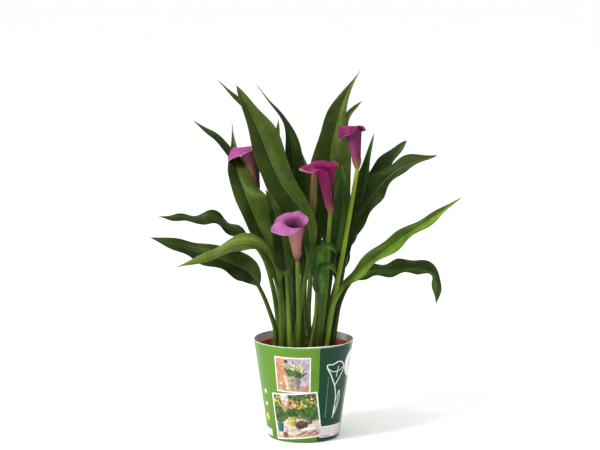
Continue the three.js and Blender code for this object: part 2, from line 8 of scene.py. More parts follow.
import logging
import math
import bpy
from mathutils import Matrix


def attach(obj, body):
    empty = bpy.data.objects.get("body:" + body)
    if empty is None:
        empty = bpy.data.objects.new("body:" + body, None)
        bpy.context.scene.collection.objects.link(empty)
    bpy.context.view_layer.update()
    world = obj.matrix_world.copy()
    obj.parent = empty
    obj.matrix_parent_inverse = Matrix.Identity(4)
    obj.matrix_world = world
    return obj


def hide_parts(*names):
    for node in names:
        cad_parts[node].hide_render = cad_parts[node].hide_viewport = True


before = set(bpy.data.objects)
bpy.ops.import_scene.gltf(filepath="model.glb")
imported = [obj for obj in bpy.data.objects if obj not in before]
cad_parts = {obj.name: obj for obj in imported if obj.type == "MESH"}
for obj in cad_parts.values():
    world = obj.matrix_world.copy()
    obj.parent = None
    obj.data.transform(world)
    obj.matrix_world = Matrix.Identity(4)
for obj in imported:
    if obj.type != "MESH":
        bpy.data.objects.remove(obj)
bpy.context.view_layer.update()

import zlib
from dataclasses import dataclass, field
from enum import Enum
from typing import Callable, Sequence

import bmesh
import bpy
import numpy as np
from mathutils import Vector

log = logging.getLogger("calla")
MM = 0.001
Array = np.ndarray
Triple = tuple[float, float, float]
Colour = Triple
Pair = tuple[float, float]
Socket, Tree, Material, Piece = bpy.types.NodeSocket, bpy.types.NodeTree, bpy.types.Material, bpy.types.Object


# ---------------------------------------------------------------- arithmetic on arrays
def mix(start: Array | float, end: Array | float, share: Array | float) -> Array | float:
    """Goes in a straight line from start to end as share goes from 0 to 1."""
    return start + (end - start) * share


def smooth(share: Array | float) -> Array | float:
    """Eases from 0 to 1: three times the square less twice the cube of the share, kept between 0 and 1."""
    s = np.clip(share, 0.0, 1.0)
    return s * s * (3.0 - 2.0 * s)


def bump(distance: Array, width: Array | float) -> Array:
    """A bell curve: e to minus the square of distance over width."""
    return np.exp(-((distance / width) ** 2))


def unit(vectors: Array) -> Array:
    """Vectors along the last axis, each over its own length."""
    return vectors / np.maximum(np.linalg.norm(vectors, axis=-1, keepdims=True), 1e-12)


def angles(sides: int) -> Array:
    """So many angles evenly round a turn, in radians."""
    return np.arange(sides) * 2 * math.pi / sides


def polar(radius: Array | float, turn: Array, height: Array | float) -> Array:
    """Points at a radius, an angle from +X and a height."""
    return np.stack(np.broadcast_arrays(radius * np.cos(turn), radius * np.sin(turn), height), axis=-1)


def colours(share: Array, stops: Sequence[tuple[float, Colour]]) -> Array:
    """Colours along a scale.

    Args:
        share: Where on the scale each point is.
        stops: Places on the scale and their colours, in order.

    Returns:
        An array like share with three more values, each mixed in a straight line between two stops.
    """
    places = [place for place, _ in stops]
    table = np.array([colour for _, colour in stops])
    return np.stack([np.interp(share, places, table[:, k]) for k in range(3)], axis=-1)


def lattice_noise(points: Array, cell: float, seed: int) -> Array:
    """Smooth noise from 0 to 1 that repeats nowhere near.

    Each corner of a grid of cells gets a number from its whole-number place, by multiplying, shifting and
    mixing bits. A point mixes the eight corners round it by its eased place in the cell.

    Args:
        points: Places, three values along the last axis.
        cell: The size of a cell, in the points' unit.
        seed: Which noise it is.

    Returns:
        One value for each point.
    """
    p = points / cell
    low = np.floor(p).astype(np.int64)
    part = smooth(p - low)
    total = np.zeros(points.shape[:-1])
    for corner in np.ndindex(2, 2, 2):
        at = (low + np.array(corner)).astype(np.uint64)
        mixed = at[..., 0] * np.uint64(73856093) ^ at[..., 1] * np.uint64(19349663)
        mixed ^= at[..., 2] * np.uint64(83492791) ^ np.uint64(seed * 2654435761 % 2**32)
        mixed ^= mixed >> np.uint64(13)
        mixed *= np.uint64(0x5BD1E995)
        mixed ^= mixed >> np.uint64(15)
        value = (mixed & np.uint64(0xFFFF)).astype(float) / 65535.0
        weight = np.prod(np.where(np.array(corner) == 1, part, 1.0 - part), axis=-1)
        total += value * weight
    return total


def seed_of(name: str) -> int:
    """A whole number that belongs to a piece's name."""
    return zlib.crc32(name.encode()) % 100000


# ---------------------------------------------------------------- surfaces and meshes
@dataclass
class Surface:
    """Points in millimetres, the faces between them and what is painted on them.

    Attributes:
        points: One row of three for each point.
        quads: Rows of four point numbers, anticlockwise from outside.
        triangles: Rows of three point numbers, anticlockwise from outside.
        tone: A colour for each point, or nothing.
        grain: Three values for each point that a pattern follows, or nothing.
    """

    points: Array
    quads: Array
    triangles: Array = field(default_factory=lambda: np.zeros((0, 3), int))
    tone: Array | None = None
    grain: Array | None = None


def band(rows: int, columns: int, closed: bool) -> Array:
    """Quads of a grid whose points are numbered row by row.

    Args:
        rows: How many rows of points.
        columns: How many points in a row.
        closed: Whether each row joins up with its own start.

    Returns:
        Point numbers: along the row, then up to the next row, so that a grid whose rows run anticlockwise
        about the way that they advance faces outwards.
    """
    row = np.arange(rows - 1)[:, None] * columns
    column = np.arange(columns if closed else columns - 1)[None, :]
    following = (column + 1) % columns
    corners = (row + column, row + following, row + columns + following, row + columns + column)
    return np.stack([corner.ravel() for corner in corners], axis=-1)


def tube(rings: Array, tone: Array | None = None, grain: Array | None = None) -> Surface:
    """A closed skin over rings, with a fan from a middle point over each end.

    Args:
        rings: Points as rows of rings.
        tone: A colour for each of those points.
        grain: Pattern values for each of those points.

    Returns:
        The surface, its two end middles last.
    """
    rows, columns = rings.shape[:2]
    count = rows * columns

    def ends(values: Array) -> Array:
        """The grid's values as rows, with the means of the first and last ring after them."""
        flat = values.reshape(count, -1)
        return np.vstack([flat, values[0].mean(0), values[-1].mean(0)])

    here = np.arange(columns)
    following = (here + 1) % columns
    first = np.stack([np.full(columns, count), following, here], axis=-1)
    top = (rows - 1) * columns
    last = np.stack([np.full(columns, count + 1), top + here, top + following], axis=-1)
    return Surface(
        ends(rings), band(rows, columns, True), np.vstack([first, last]),
        None if tone is None else ends(tone), None if grain is None else ends(grain),
    )


def sheet(outer: Array, inner: Array, tones: tuple[Array, Array], grains: tuple[Array, Array]) -> Surface:
    """A thin closed shell between two open grids of points, with a strip round its edge.

    Args:
        outer: The skin that faces outwards, as rows of points.
        inner: The other skin, point for point.
        tones: Colours of the outer and the inner skin.
        grains: Pattern values of the outer and the inner skin.

    Returns:
        The surface.
    """
    rows, columns = outer.shape[:2]
    count = rows * columns
    number = np.arange(count).reshape(rows, columns)
    skin = band(rows, columns, False)
    rim = np.concatenate([number[0, :-1], number[:-1, -1], number[-1, :0:-1], number[:0:-1, 0]])
    onward = np.roll(rim, -1)
    strip = np.stack([rim, rim + count, onward + count, onward], axis=-1)
    return Surface(
        np.vstack([outer.reshape(-1, 3), inner.reshape(-1, 3)]),
        np.vstack([skin, skin[:, ::-1] + count, strip]),
        tone=np.vstack([t.reshape(count, -1) for t in tones]),
        grain=np.vstack([g.reshape(count, -1) for g in grains]),
    )


def lathe(profile: Array, sides: int) -> Surface:
    """A surface of revolution round Z whose profile starts and ends on the axis.

    Args:
        profile: Rows of radius and height, outwards along the underside first.
        sides: Points in a ring.

    Returns:
        The surface: each point of the profile but the ends goes round in a ring.
    """
    turn = angles(sides)
    ring = np.stack([np.sin(turn), -np.cos(turn)], axis=-1)
    radius, height = profile[1:-1, 0], profile[1:-1, 1]
    places = radius[:, None, None] * ring[None]
    rings = np.concatenate([places, np.broadcast_to(height[:, None, None], (*places.shape[:2], 1))], axis=-1)
    surface = tube(rings)
    surface.points[-2:] = [[0, 0, profile[0, 1]], [0, 0, profile[-1, 1]]]
    return surface


def put(
    name: str, surfaces: Sequence[Surface], material: Material, replaces: str | None = None
) -> Piece:
    """Makes surfaces one piece that rides on the root body.

    Args:
        name: The piece's name.
        surfaces: What it is made of.
        material: What it wears.
        replaces: The frame's node that it stands for.

    Returns:
        The new object, at the origin.
    """
    starts = np.cumsum([0] + [len(s.points) for s in surfaces])
    points = np.vstack([s.points for s in surfaces]) * MM
    quads = np.vstack([s.quads + n for s, n in zip(surfaces, starts)])
    triangles = np.vstack([s.triangles + n for s, n in zip(surfaces, starts)])
    corners = np.concatenate([quads.ravel(), triangles.ravel()]).astype(np.int32)
    sizes = np.concatenate([np.full(len(quads), 4), np.full(len(triangles), 3)])
    mesh = bpy.data.meshes.new(name)
    mesh.vertices.add(len(points))
    mesh.vertices.foreach_set("co", points.astype(np.float32).ravel())
    mesh.loops.add(len(corners))
    mesh.loops.foreach_set("vertex_index", corners)
    mesh.polygons.add(len(sizes))
    mesh.polygons.foreach_set("loop_start", np.concatenate([[0], np.cumsum(sizes)[:-1]]).astype(np.int32))
    mesh.polygons.foreach_set("use_smooth", np.ones(len(sizes), bool))
    painted = (("tone", "FLOAT_COLOR", "color", 1.0), ("grain", "FLOAT_VECTOR", "vector", 0.0))
    for label, kind, value, blank in painted:
        found = [getattr(s, label) for s in surfaces]
        if all(each is None for each in found):
            continue
        rows = np.vstack([np.full((len(s.points), 3), blank) if each is None else each
                          for s, each in zip(surfaces, found)])
        if label == "tone":
            rows = np.hstack([np.clip(rows, 0.0, 1.0), np.ones((len(rows), 1))])
            layer = mesh.color_attributes.new(label, kind, "POINT")
        else:
            layer = mesh.attributes.new(label, kind, "POINT")
        layer.data.foreach_set(value, rows.astype(np.float32).ravel())
    mesh.update(calc_edges=True)
    mesh.validate()
    mesh.materials.append(material)
    piece = bpy.data.objects.new(name, mesh)
    bpy.context.scene.collection.objects.link(piece)
    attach(piece, "root")
    if replaces:
        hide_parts(replaces)
    log.info("%s: %d faces", name, len(sizes))
    return piece


# ---------------------------------------------------------------- spines
class Spine:
    """A centripetal Catmull-Rom curve through points, met by its share of the length.

    Between two points it is the cubic whose slopes there come from the neighbours, each span timed by the
    square root of its length. Past each end the next point is the reflection of the last but one.
    """

    DIVISIONS = 200

    def __init__(self, points: Array) -> None:
        """Measures the curve.

        Args:
            points: Rows of three, in millimetres.
        """
        p = np.asarray(points, float)
        self.points = np.vstack([2 * p[0] - p[1], p, 2 * p[-1] - p[-2]])
        self.steps = np.linspace(0.0, 1.0, self.DIVISIONS + 1)
        pieces = np.linalg.norm(np.diff(self._place(self.steps), axis=0), axis=1)
        self.lengths = np.concatenate([[0.0], np.cumsum(pieces)])
        self.length = float(self.lengths[-1])

    def _place(self, time: Array) -> Array:
        """Places at shares of the number of spans: the cubic of each span's two points and two slopes."""
        spans = len(self.points) - 3
        at = np.clip(time, 0.0, 1.0) * spans
        low = np.minimum(at.astype(int), spans - 1)
        w = (at - low)[:, None]
        a, b, c, d = (self.points[low + k] for k in range(4))
        before, here, after = (
            np.sqrt(np.linalg.norm(q - p, axis=1))[:, None] for p, q in ((a, b), (b, c), (c, d))
        )
        start = ((b - a) / before - (c - a) / (before + here) + (c - b) / here) * here
        end = ((c - b) / here - (d - b) / (here + after) + (d - c) / after) * here
        square = -3 * b + 3 * c - 2 * start - end
        return b + w * start + w**2 * square + w**3 * (2 * b - 2 * c + start + end)

    def at(self, share: Array) -> Array:
        """Places at shares of the length, going on straight past its end."""
        inside = self._place(np.interp(np.minimum(share, 1.0) * self.length, self.lengths, self.steps))
        past = np.maximum(share - 1.0, 0.0)[:, None] * self.length
        return inside + past * self.along(np.ones(1))

    def along(self, share: Array) -> Array:
        """Unit directions at shares of the length, from two places a ten-thousandth apart in time."""
        time = np.interp(np.minimum(share, 1.0) * self.length, self.lengths, self.steps)
        return unit(self._place(time + 1e-4) - self._place(time - 1e-4))


# ---------------------------------------------------------------- where every stem runs
FIT = 0.3  # clearance between two pieces of the frame that touch
SOIL_TOP = 113.0
TUBER_TOP = 75.0
PLANT_HEIGHT = 379.0  # of the tallest leaf above the soil
PLANT_REACH = 186.0  # from a root out to the furthest leaf tip


class Tint(Enum):
    """A leaf's green, as the colour of its upper side. DEEP is partly painted shade, for leaves that stand in
    shade, and BRIGHT and PALE are partly painted light, for light shining through those leaves.
    """

    DEEP = (0.017, 0.034, 0.005)
    OLIVE = (0.036, 0.058, 0.008)
    GREEN = (0.026, 0.060, 0.010)
    FRESH = (0.042, 0.110, 0.014)
    BRIGHT = (0.070, 0.130, 0.011)
    PALE = (0.076, 0.108, 0.019)


@dataclass(frozen=True)
class Blade:
    """A blade's shape: the share of the length that is petiole, the widest half-width, the angle of each half
    to the keel, the depth and number of its ripples, how far up its belly lies, and how drawn out its tip
    is."""

    start: float
    half: float
    fold: float
    wave: float
    waves: float
    belly: float = 0.36
    point: float = 1.1


@dataclass(frozen=True)
class Leaf:
    """A leaf: its place over a tuber, where its upper side looks at the blade's start and at its tip, its
    blade, and its spine as points [out along X, along Y, height above the soil] from its root."""

    name: str
    root: tuple[str, int, float]
    faces: tuple[Triple, Triple]
    blade: Blade
    spine: tuple[Triple, ...]
    tint: Tint
    petiole: float = 4.1


@dataclass(frozen=True)
class Flower:
    """A flower: its place, size, the way it opens, the side of its drawn-out tip, how far its lip rolls over
    at the seam and at the tip, the angle of its seam from the tip's side, its spine, how far its overlapping
    edges drop below the throat, how fast its lip turns over and how wide the dropped part is in radians."""

    name: str
    root: tuple[str, int, float]
    size: float
    axis: Triple
    tip: Triple
    roll: Pair
    seam: float
    spine: tuple[Triple, ...]
    dip: float = 13.0
    curl: float = 1.3
    gape: float = 1.05


LEAVES: tuple[Leaf, ...] = (
    Leaf("leaf_left_long", ("left", 2, 175), ((-0.3, -1, 0.5), (0, -0.75, 0.65)),
         Blade(0.46, 16.5, 12, 2.5, 2, 0.24), ((2, -2, 32), (-6, -8, 61), (-17, -12, 89), (-32, -16, 114),
         (-54, -22, 127), (-81, -28, 139), (-121, -36, 152), (-162, -44, 166)), Tint.DEEP),
    Leaf("leaf_left_front_drooping", ("left", 2, 245), ((0.5, -0.7, 0.9), (-0.2, -0.7, 0.8)),
         Blade(0.42, 13, 14, 1.5, 2, 0.3), ((-1, -7, 46), (-4, -15, 94), (-10, -21, 126), (-24, -29, 150),
         (-43, -37, 160), (-65, -45, 158), (-93, -55, 145), (-135, -67, 134)), Tint.PALE),
    Leaf("leaf_left_upper", ("left", 2, 140), ((0.3, -0.7, 0.9), (0.1, -0.7, 0.8)),
         Blade(0.6, 10, 14, 2.5, 2), ((1, 6, 37), (-7, 12, 91), (-20, 18, 130), (-39, 24, 152),
         (-64, 28, 166), (-88, 32, 177), (-118, 35, 178), (-162, 38, 181)), Tint.DEEP),
    Leaf("leaf_left_broad", ("left", 1, 210), ((0.3, -1, 0.3), (0.4, -1, 0.1)),
         Blade(0.46, 18.5, 22, 2, 2.5, 0.36, 2.2), ((3, -5, 53), (-3, -13, 99), (-15, -17, 144),
         (-32, -15, 182), (-49, -3, 222), (-61, 22, 251), (-66, 49, 279), (-68, 68, 306)), Tint.OLIVE),
    Leaf("leaf_left_back_high", ("left", 1, 90), ((0.5, -0.7, 0.5), (0.6, -0.7, 0.5)),
         Blade(0.6, 9, 24, 1, 2), ((-5, 12, 36), (-19, 28, 109), (-41, 44, 183), (-58, 52, 230),
         (-77, 58, 263), (-97, 62, 283), (-129, 66, 309)), Tint.DEEP),
    Leaf("leaf_left_narrow_tall", ("back", 2, 160), ((0.9, -0.5, 0.2), (0.8, -0.5, 0.4)),
         Blade(0.56, 9, 24, 1, 2), ((-6, 1, 32), (-11, 12, 107), (-17, 23, 181), (-28, 31, 249),
         (-47, 35, 304), (-69, 37, 332), (-99, 39, 364)), Tint.OLIVE),
    Leaf("leaf_centre_giant", ("left", 1, 330), ((-0.3, -1, 0.1), (0.45, -1, 0.35)),
         Blade(0.4, 19, 22, 1.5, 1.5, 0.58), ((5, -3, 47), (12, -9, 91), (19, -13, 135), (19, -13, 175),
         (6, -9, 204), (-14, -5, 229), (-30, -1, 261), (-48, 5, 304), (-77, 17, 362)), Tint.OLIVE),
    Leaf("leaf_centre_hooked", ("left", 1, 30), ((0, -1, 0.1), (1, -0.2, 0.6)),
         Blade(0.55, 14, 22, 1, 2, 0.3, 2.2), ((1, 7, 42), (-1, 15, 126), (-1, 19, 200), (-1, 22, 254),
         (-6, 25, 288), (-17, 29, 316), (-33, 34, 337), (-50, 39, 360)), Tint.DEEP),
    Leaf("leaf_back_left_tall", ("back", 1, 150), ((0.3, -1, 0.2), (0.4, -1, 0.4)), Blade(0.55, 10, 20, 1, 2),
         ((-8, 12, 35), (-15, 32, 116), (-26, 51, 200), (-43, 62, 254), (-66, 68, 290)), Tint.DEEP),
    Leaf("leaf_back_middle_tall", ("back", 1, 210), ((0, -1, 0.2), (-0.5, -1, 0.3)), Blade(0.55, 9, 20, 1, 2),
         ((-2, 5, 38), (-9, 17, 119), (-22, 29, 202), (-27, 35, 256), (-26, 41, 311)), Tint.OLIVE),
    Leaf("leaf_front_left_short", ("left", 2, 280), ((0.2, -1, 0.15), (0.4, -1, 0.2)),
         Blade(0.56, 14, 20, 1.5, 2), ((-2, -7, 50), (-4, -11, 94), (-7, -15, 132), (-12, -19, 169),
         (-21, -19, 199), (-32, -15, 228)), Tint.DEEP),
    Leaf("leaf_front_curled_upper", ("right", 2, 225), ((-0.2, -1, 0.4), (0.6, -0.8, 0.8)),
         Blade(0.69, 9, 24, 1.5, 1.5), ((8, -12, 50), (10, -20, 95), (9, -26, 129), (14, -30, 149),
         (24, -34, 156), (34, -36, 148)), Tint.FRESH, petiole=3.4),
    Leaf("leaf_front_curled_lower", ("right", 2, 260), ((-0.3, -1, 0.4), (0.5, -0.8, 0.8)),
         Blade(0.67, 8, 24, 1.5, 1.5), ((4, -13, 51), (4, -27, 89), (2, -35, 114), (8, -43, 129),
         (18, -47, 131), (24, -47, 122)), Tint.FRESH, petiole=3.4),
    Leaf("leaf_right_tallest", ("right", 1, 90), ((0, -1, 0.1), (-0.6, -1, 0.2)),
         Blade(0.42, 26, 16, 1.5, 2, 0.43, 2), ((4, 8, 44), (11, 18, 111), (15, 24, 172), (16, 29, 233),
         (17, 32, 273), (23, 34, 303), (30, 36, 331), (39, 38, 353), (55, 40, 379)), Tint.OLIVE),
    Leaf("leaf_right_front_pointed", ("right", 0, 0), ((-0.2, -1, 0.1), (-0.3, -1, 0.2)),
         Blade(0.58, 11, 24, 1, 2, 0.45), ((7, 1, 45), (13, 2, 88), (18, 3, 126), (25, 3, 163), (31, 4, 196),
         (33, 5, 223), (30, 7, 254)), Tint.GREEN),
    Leaf("leaf_right_back_tip", ("back", 1, 330), ((0, -1, 0.2), (-0.3, -1, 0.4)), Blade(0.58, 10, 20, 1, 2),
         ((10, 9, 37), (20, 27, 117), (28, 41, 201), (39, 49, 269), (51, 54, 313), (71, 59, 335)),
         Tint.OLIVE),
    Leaf("leaf_right_slim_upright", ("right", 1, 30), ((-0.5, -1, 0.1), (-0.6, -1, 0.2)),
         Blade(0.5, 9, 26, 1, 2), ((6, 9, 42), (17, 21, 91), (32, 31, 151), (45, 39, 198), (54, 46, 242),
         (66, 53, 293)), Tint.FRESH),
    Leaf("leaf_right_back_wide", ("right", 2, 40), ((-0.5, -0.9, 0.4), (-0.5, -0.8, 0.5)),
         Blade(0.56, 14, 18, 1.5, 2, 0.5, 0.9), ((3, 12, 43), (13, 28, 89), (27, 42, 142), (42, 52, 191),
         (63, 60, 232), (84, 68, 257), (106, 76, 281)), Tint.DEEP),
    Leaf("leaf_right_broad", ("right", 2, 5), ((-0.6, -1, 0.3), (-0.4, -0.8, 0.8)),
         Blade(0.46, 15, 18, 2.5, 2.5, 0.5), ((2, 3, 47), (9, 5, 90), (17, 7, 134), (29, 6, 174),
         (46, 4, 206), (65, 1, 232), (92, -3, 255), (137, -10, 271)), Tint.DEEP),
    Leaf("leaf_right_back_low", ("back", 2, 20), ((-0.6, -0.7, 0.6), (-0.4, -0.3, 0.9)),
         Blade(0.56, 11, 16, 1.5, 2), ((12, 7, 35), (28, 25, 91), (45, 39, 138), (58, 49, 160),
         (72, 57, 176)), Tint.DEEP),
    Leaf("leaf_right_long", ("right", 2, 295), ((-0.7, -0.8, 0.5), (-0.3, -0.8, 0.6)),
         Blade(0.36, 10.5, 14, 2, 2.5, 0.42), ((5, -6, 44), (11, -11, 75), (23, -16, 98), (46, -24, 122),
         (78, -35, 150), (111, -47, 177), (143, -57, 200), (174, -67, 224)), Tint.BRIGHT),
    Leaf("leaf_right_drooping", ("right", 2, 330), ((-0.5, -0.8, 0.6), (0.6, -0.8, 0.5)),
         Blade(0.44, 10, 12, 3, 3, 0.45, 0.7), ((6, -1, 47), (12, -6, 77), (26, -9, 104), (48, -13, 117),
         (84, -18, 122), (119, -24, 124), (136, -28, 114), (138, -32, 78)), Tint.GREEN),
    Leaf("leaf_back_arching_left", ("back", 2, 125), ((0.2, -0.8, 0.7), (0, -0.1, 1)),
         Blade(0.42, 17, 16, 2, 2), ((-5, 15, 48), (-15, 41, 112), (-28, 67, 160), (-43, 92, 172),
         (-55, 120, 158)), Tint.DEEP),
    Leaf("leaf_back_arching_middle", ("back", 2, 90), ((0, -0.8, 0.7), (0, -0.1, 1)),
         Blade(0.42, 18, 16, 2, 2), ((1, 11, 53), (4, 41, 128), (8, 70, 186), (12, 99, 204), (14, 129, 190)),
         Tint.OLIVE),
    Leaf("leaf_back_arching_right", ("back", 2, 55), ((-0.2, -0.8, 0.7), (0, -0.1, 1)),
         Blade(0.42, 16, 16, 2, 2), ((7, 12, 48), (19, 34, 104), (33, 62, 142), (49, 88, 150),
         (63, 110, 134)), Tint.GREEN),
    Leaf("leaf_back_upright", ("back", 1, 90), ((0, -0.9, 0.3), (0, -0.6, 0.6)), Blade(0.42, 18, 18, 1.5, 2),
         ((-2, 8, 53), (-2, 28, 138), (-4, 50, 208), (-8, 70, 252), (-12, 90, 280)), Tint.DEEP),
)

FLOWERS: tuple[Flower, ...] = (
    Flower("left", ("left", 1, 150), 1.06, (-11, 3, 60), (-1, -0.15, 0), (60, 125), 190,
           ((0, -1, 44), (-5, 1, 95), (-16, 6, 155), (-33, 13, 217)), curl=1.7),
    Flower("centre", ("right", 1, 270), 1.03, (-7, -12, 60), (-1, -0.35, 0), (30, 84), 104,
           ((4, -7, 48), (9, -11, 99), (11, -14, 149), (14, -16, 197)), dip=27.0, gape=1.45),
    Flower("front", ("left", 2, 315), 1.03, (-3, -27, 50), (-1, -0.3, 0), (40, 118), 132,
           ((1, -13, 50), (0, -24, 96), (-1, -34, 137)), dip=12.0, gape=1.35),
    Flower("right_high", ("right", 1, 330), 0.97, (-6, 8, 58), (-1, 0.1, 0), (125, 150), 140,
           ((6, -3, 47), (15, -7, 99), (26, -6, 158), (34, -1, 204), (42, 7, 252)), curl=2.0),
)
BUD_ROOT = ("right", 1, 150)
BUD_AXIS: Triple = (1, -1, 60)
BUD_SPINE: tuple[Triple, ...] = ((-6, -1, 44), (-3, 1, 115), (0, 2, 197))


@dataclass(frozen=True)
class Roots:
    """Where stems stand on the tubers: in rings a pitch apart round each tuber's middle.

    The pitch is half-way between the closest that keeps neighbours apart and the widest that the soil takes.
    """

    petiole: float = 4.1
    edge: float = 1.5  # soil outside the outermost stems
    soil_radius: float = 52.7223  # at the tubers' tops
    rings: tuple[float, ...] = (0.0, 1.0, 1.96)
    middle: float = 2.5  # pitches from the pot's axis to a tuber's middle

    @property
    def pitch(self) -> float:
        """The distance between neighbouring rings."""
        closest = 2 * (self.petiole + FIT)
        widest = (self.soil_radius - self.edge - self.petiole) / (self.middle + self.rings[-1])
        return (closest + widest) / 2

    def tuber(self, name: str) -> Array:
        """The middle of a tuber's top."""
        heading = math.radians({"left": 210, "right": 330, "back": 90}[name])
        out = self.middle * self.pitch
        return np.array([math.cos(heading) * out, math.sin(heading) * out, TUBER_TOP])

    def spine(self, root: tuple[str, int, float], points: Sequence[Triple]) -> Spine:
        """A stem's spine: straight up through the soil, then bending through its own points.

        Args:
            root: The tuber, the ring and the angle round it.
            points: Steps out along X and Y, and the height above the soil.

        Returns:
            The curve, with the frame's overall height and reach.
        """
        tuber, ring, angle = root
        out = self.rings[ring] * self.pitch
        turn = math.radians(angle)
        foot = self.tuber(tuber) + [math.cos(turn) * out, math.sin(turn) * out, FIT]
        own = np.array(points, float)
        tips = np.array([leaf.spine[-1] for leaf in LEAVES], float)
        own[:, :2] *= PLANT_REACH / np.hypot(tips[:, 0], tips[:, 1]).max()
        own[:, 2] *= PLANT_HEIGHT / tips[:, 2].max()
        own += [foot[0], foot[1], SOIL_TOP]
        half = [foot[0], foot[1], (foot[2] + SOIL_TOP) / 2]
        return Spine(np.vstack([foot, half, [foot[0], foot[1], SOIL_TOP], own]))


ROOTS = Roots()


# ---------------------------------------------------------------- leaves
@dataclass(frozen=True)
class Foliage:
    """All the leaves: each a round petiole that opens into a folded, waved blade over a keel."""

    neck: float = 2.7  # the petiole's radius where the blade starts
    tip: float = 0.4
    half_thickness: float = 0.42
    flattening: float = 0.12  # the share of a blade over which the round section turns flat
    keel_taper: float = 0.6
    margin_droop: float = 0.35
    ripple_lag: float = 0.8
    thread: float = 1.0  # length of the fine point past the tip
    widening: float = 1.08  # how much wider a blade is than its frame's solid
    fullness: float = 0.78  # how much less its outline narrows towards the tip
    swing: Pair = (0.11, 0.06)  # how far its margins wander, in slow and in quick waves
    frill: float = 0.42
    crease: float = 1.45  # how much more a blade folds than its frame's solid
    liveliness: float = 1.9  # how much deeper its ripples are
    quickness: float = 1.5  # how many more of them there are
    across: int = 26  # steps across each side
    petiole_rows: int = 34
    blade_rows: int = 110

    def outline(self, b: Array, blade: Blade) -> Array:
        """How wide a blade is, as a share of its widest.

        Up to the belly, 1 less the square of what is left to it, to the power of three quarters; beyond it, 1
        less the share of the rest to the power of 1.7, to the power of the point.
        """
        swell = np.clip(1 - (1 - np.clip(b, 0, blade.belly) / blade.belly) ** 2, 0, 1) ** 0.75
        rest = np.clip((b - blade.belly) / (1 - blade.belly), 0, 1)
        return np.where(b < blade.belly, swell, (1 - rest**1.7) ** (self.fullness * blade.point))

    def build(self, leaf: Leaf, material: Material) -> Piece:
        """Makes one leaf.

        A section's points lie at x across it, from margin to margin over the top and back underneath. Their
        height is the half-thickness times the root of 1 less x squared, plus the fold's rise with the
        distance from the keel, less its droop at the margin, plus a ripple that grows with the square of x,
        less a bell-shaped groove over the midrib, and less a bell-shaped rib underneath.

        Args:
            leaf: Its places and shape.
            material: What it wears.

        Returns:
            The piece.
        """
        blade, rng = leaf.blade, np.random.default_rng(seed_of(leaf.name))
        spine = ROOTS.spine(leaf.root, leaf.spine)
        last = 1 + self.thread / spine.length
        t = np.concatenate([
            np.linspace(0, blade.start, self.petiole_rows, endpoint=False),
            np.linspace(blade.start, 1, self.blade_rows, endpoint=False), np.linspace(1, last, 5),
        ])
        b = np.clip((t - blade.start) / (1 - blade.start), 0, 1)
        flat = smooth(b / self.flattening)
        along = spine.along(t)
        turned = smooth(b)[:, None]
        side = unit(np.cross(mix(np.array(leaf.faces[0]), np.array(leaf.faces[1]), turned), along))
        up = np.cross(along, side)
        core = np.where(b > 0, mix(self.neck, self.tip, b**self.keel_taper),
                        mix(leaf.petiole, self.neck, smooth(t / blade.start)))
        core *= np.clip((last - t) / (last - 1), 0.08, 1)
        width = self.outline(b, blade)
        phases = rng.uniform(0, 2 * math.pi, 6)
        steps = np.linspace(-1, 1, self.across + 1)
        spread = 0.55 * steps + 0.45 * np.sin(steps * math.pi / 2)
        x = np.concatenate([-spread, spread[1:-1]])[None, :]
        over = np.concatenate([np.ones(len(spread)), -np.ones(len(spread) - 2)])[None, :]
        share = np.abs(x)
        reach = self.widening * blade.half * width
        half = np.where(x > 0, 1, -1)
        wild = 1 + share * (self.swing[0] * np.sin(9.5 * b[:, None] + phases[0] + 1.3 * half)
                            + self.swing[1] * np.sin(21.0 * b[:, None] + phases[3] + 0.9 * half))
        wide = np.hypot(core, reach)[:, None] * mix(1, wild, flat[:, None])
        thin = mix(core, np.minimum(self.half_thickness, core), flat)[:, None]
        distance = x * wide
        rib = bump(distance, np.maximum(1.15 * core, 0.35)[:, None]) * flat[:, None]
        high = thin * np.sqrt(np.clip(1 - x**2, 0, 1))
        keel = np.maximum(core - thin[:, 0], 0)[:, None] * rib
        groove = 0.5 * core[:, None] * bump(distance, np.maximum(0.7 * core, 0.3)[:, None]) * flat[:, None]
        lift = np.where(over > 0, high - groove, -high - keel)
        slope = math.tan(math.radians(self.crease * blade.fold))
        rise = slope * np.abs(distance) * (1 - self.margin_droop * share)
        phase = 2 * math.pi * self.quickness * blade.waves * b[:, None] + np.sign(x) * self.ripple_lag
        ripple = self.liveliness * blade.wave * width[:, None] * np.sin(phase) * share**2
        frill = self.frill * width[:, None] * share**4 * (
            np.sin(31 * b[:, None] + phases[1] + np.sign(x))
            + np.sin(19 * b[:, None] + phases[2] * np.sign(x))
        )
        height = lift + flat[:, None] * (rise + ripple + frill)
        rings = spine.at(t)[:, None] + side[:, None] * distance[..., None] + up[:, None] * height[..., None]
        mid = bump(distance, np.maximum(0.55 * core, 0.3)[:, None]) * flat[:, None]
        run = (t * spine.length)[:, None]
        swept = run + 0 * x - 1.15 * np.abs(distance) * (1 + 0.5 * share)
        grain = np.stack([distance + 0 * run, swept, mix(0.0, 1.0, (over > 0) + 0 * run)], axis=-1)
        tone = self.tones(leaf, rings, t, b, x, over, mid, flat, rng)
        return put(leaf.name + "_fine", [tube(rings, tone, grain)], material, leaf.name)

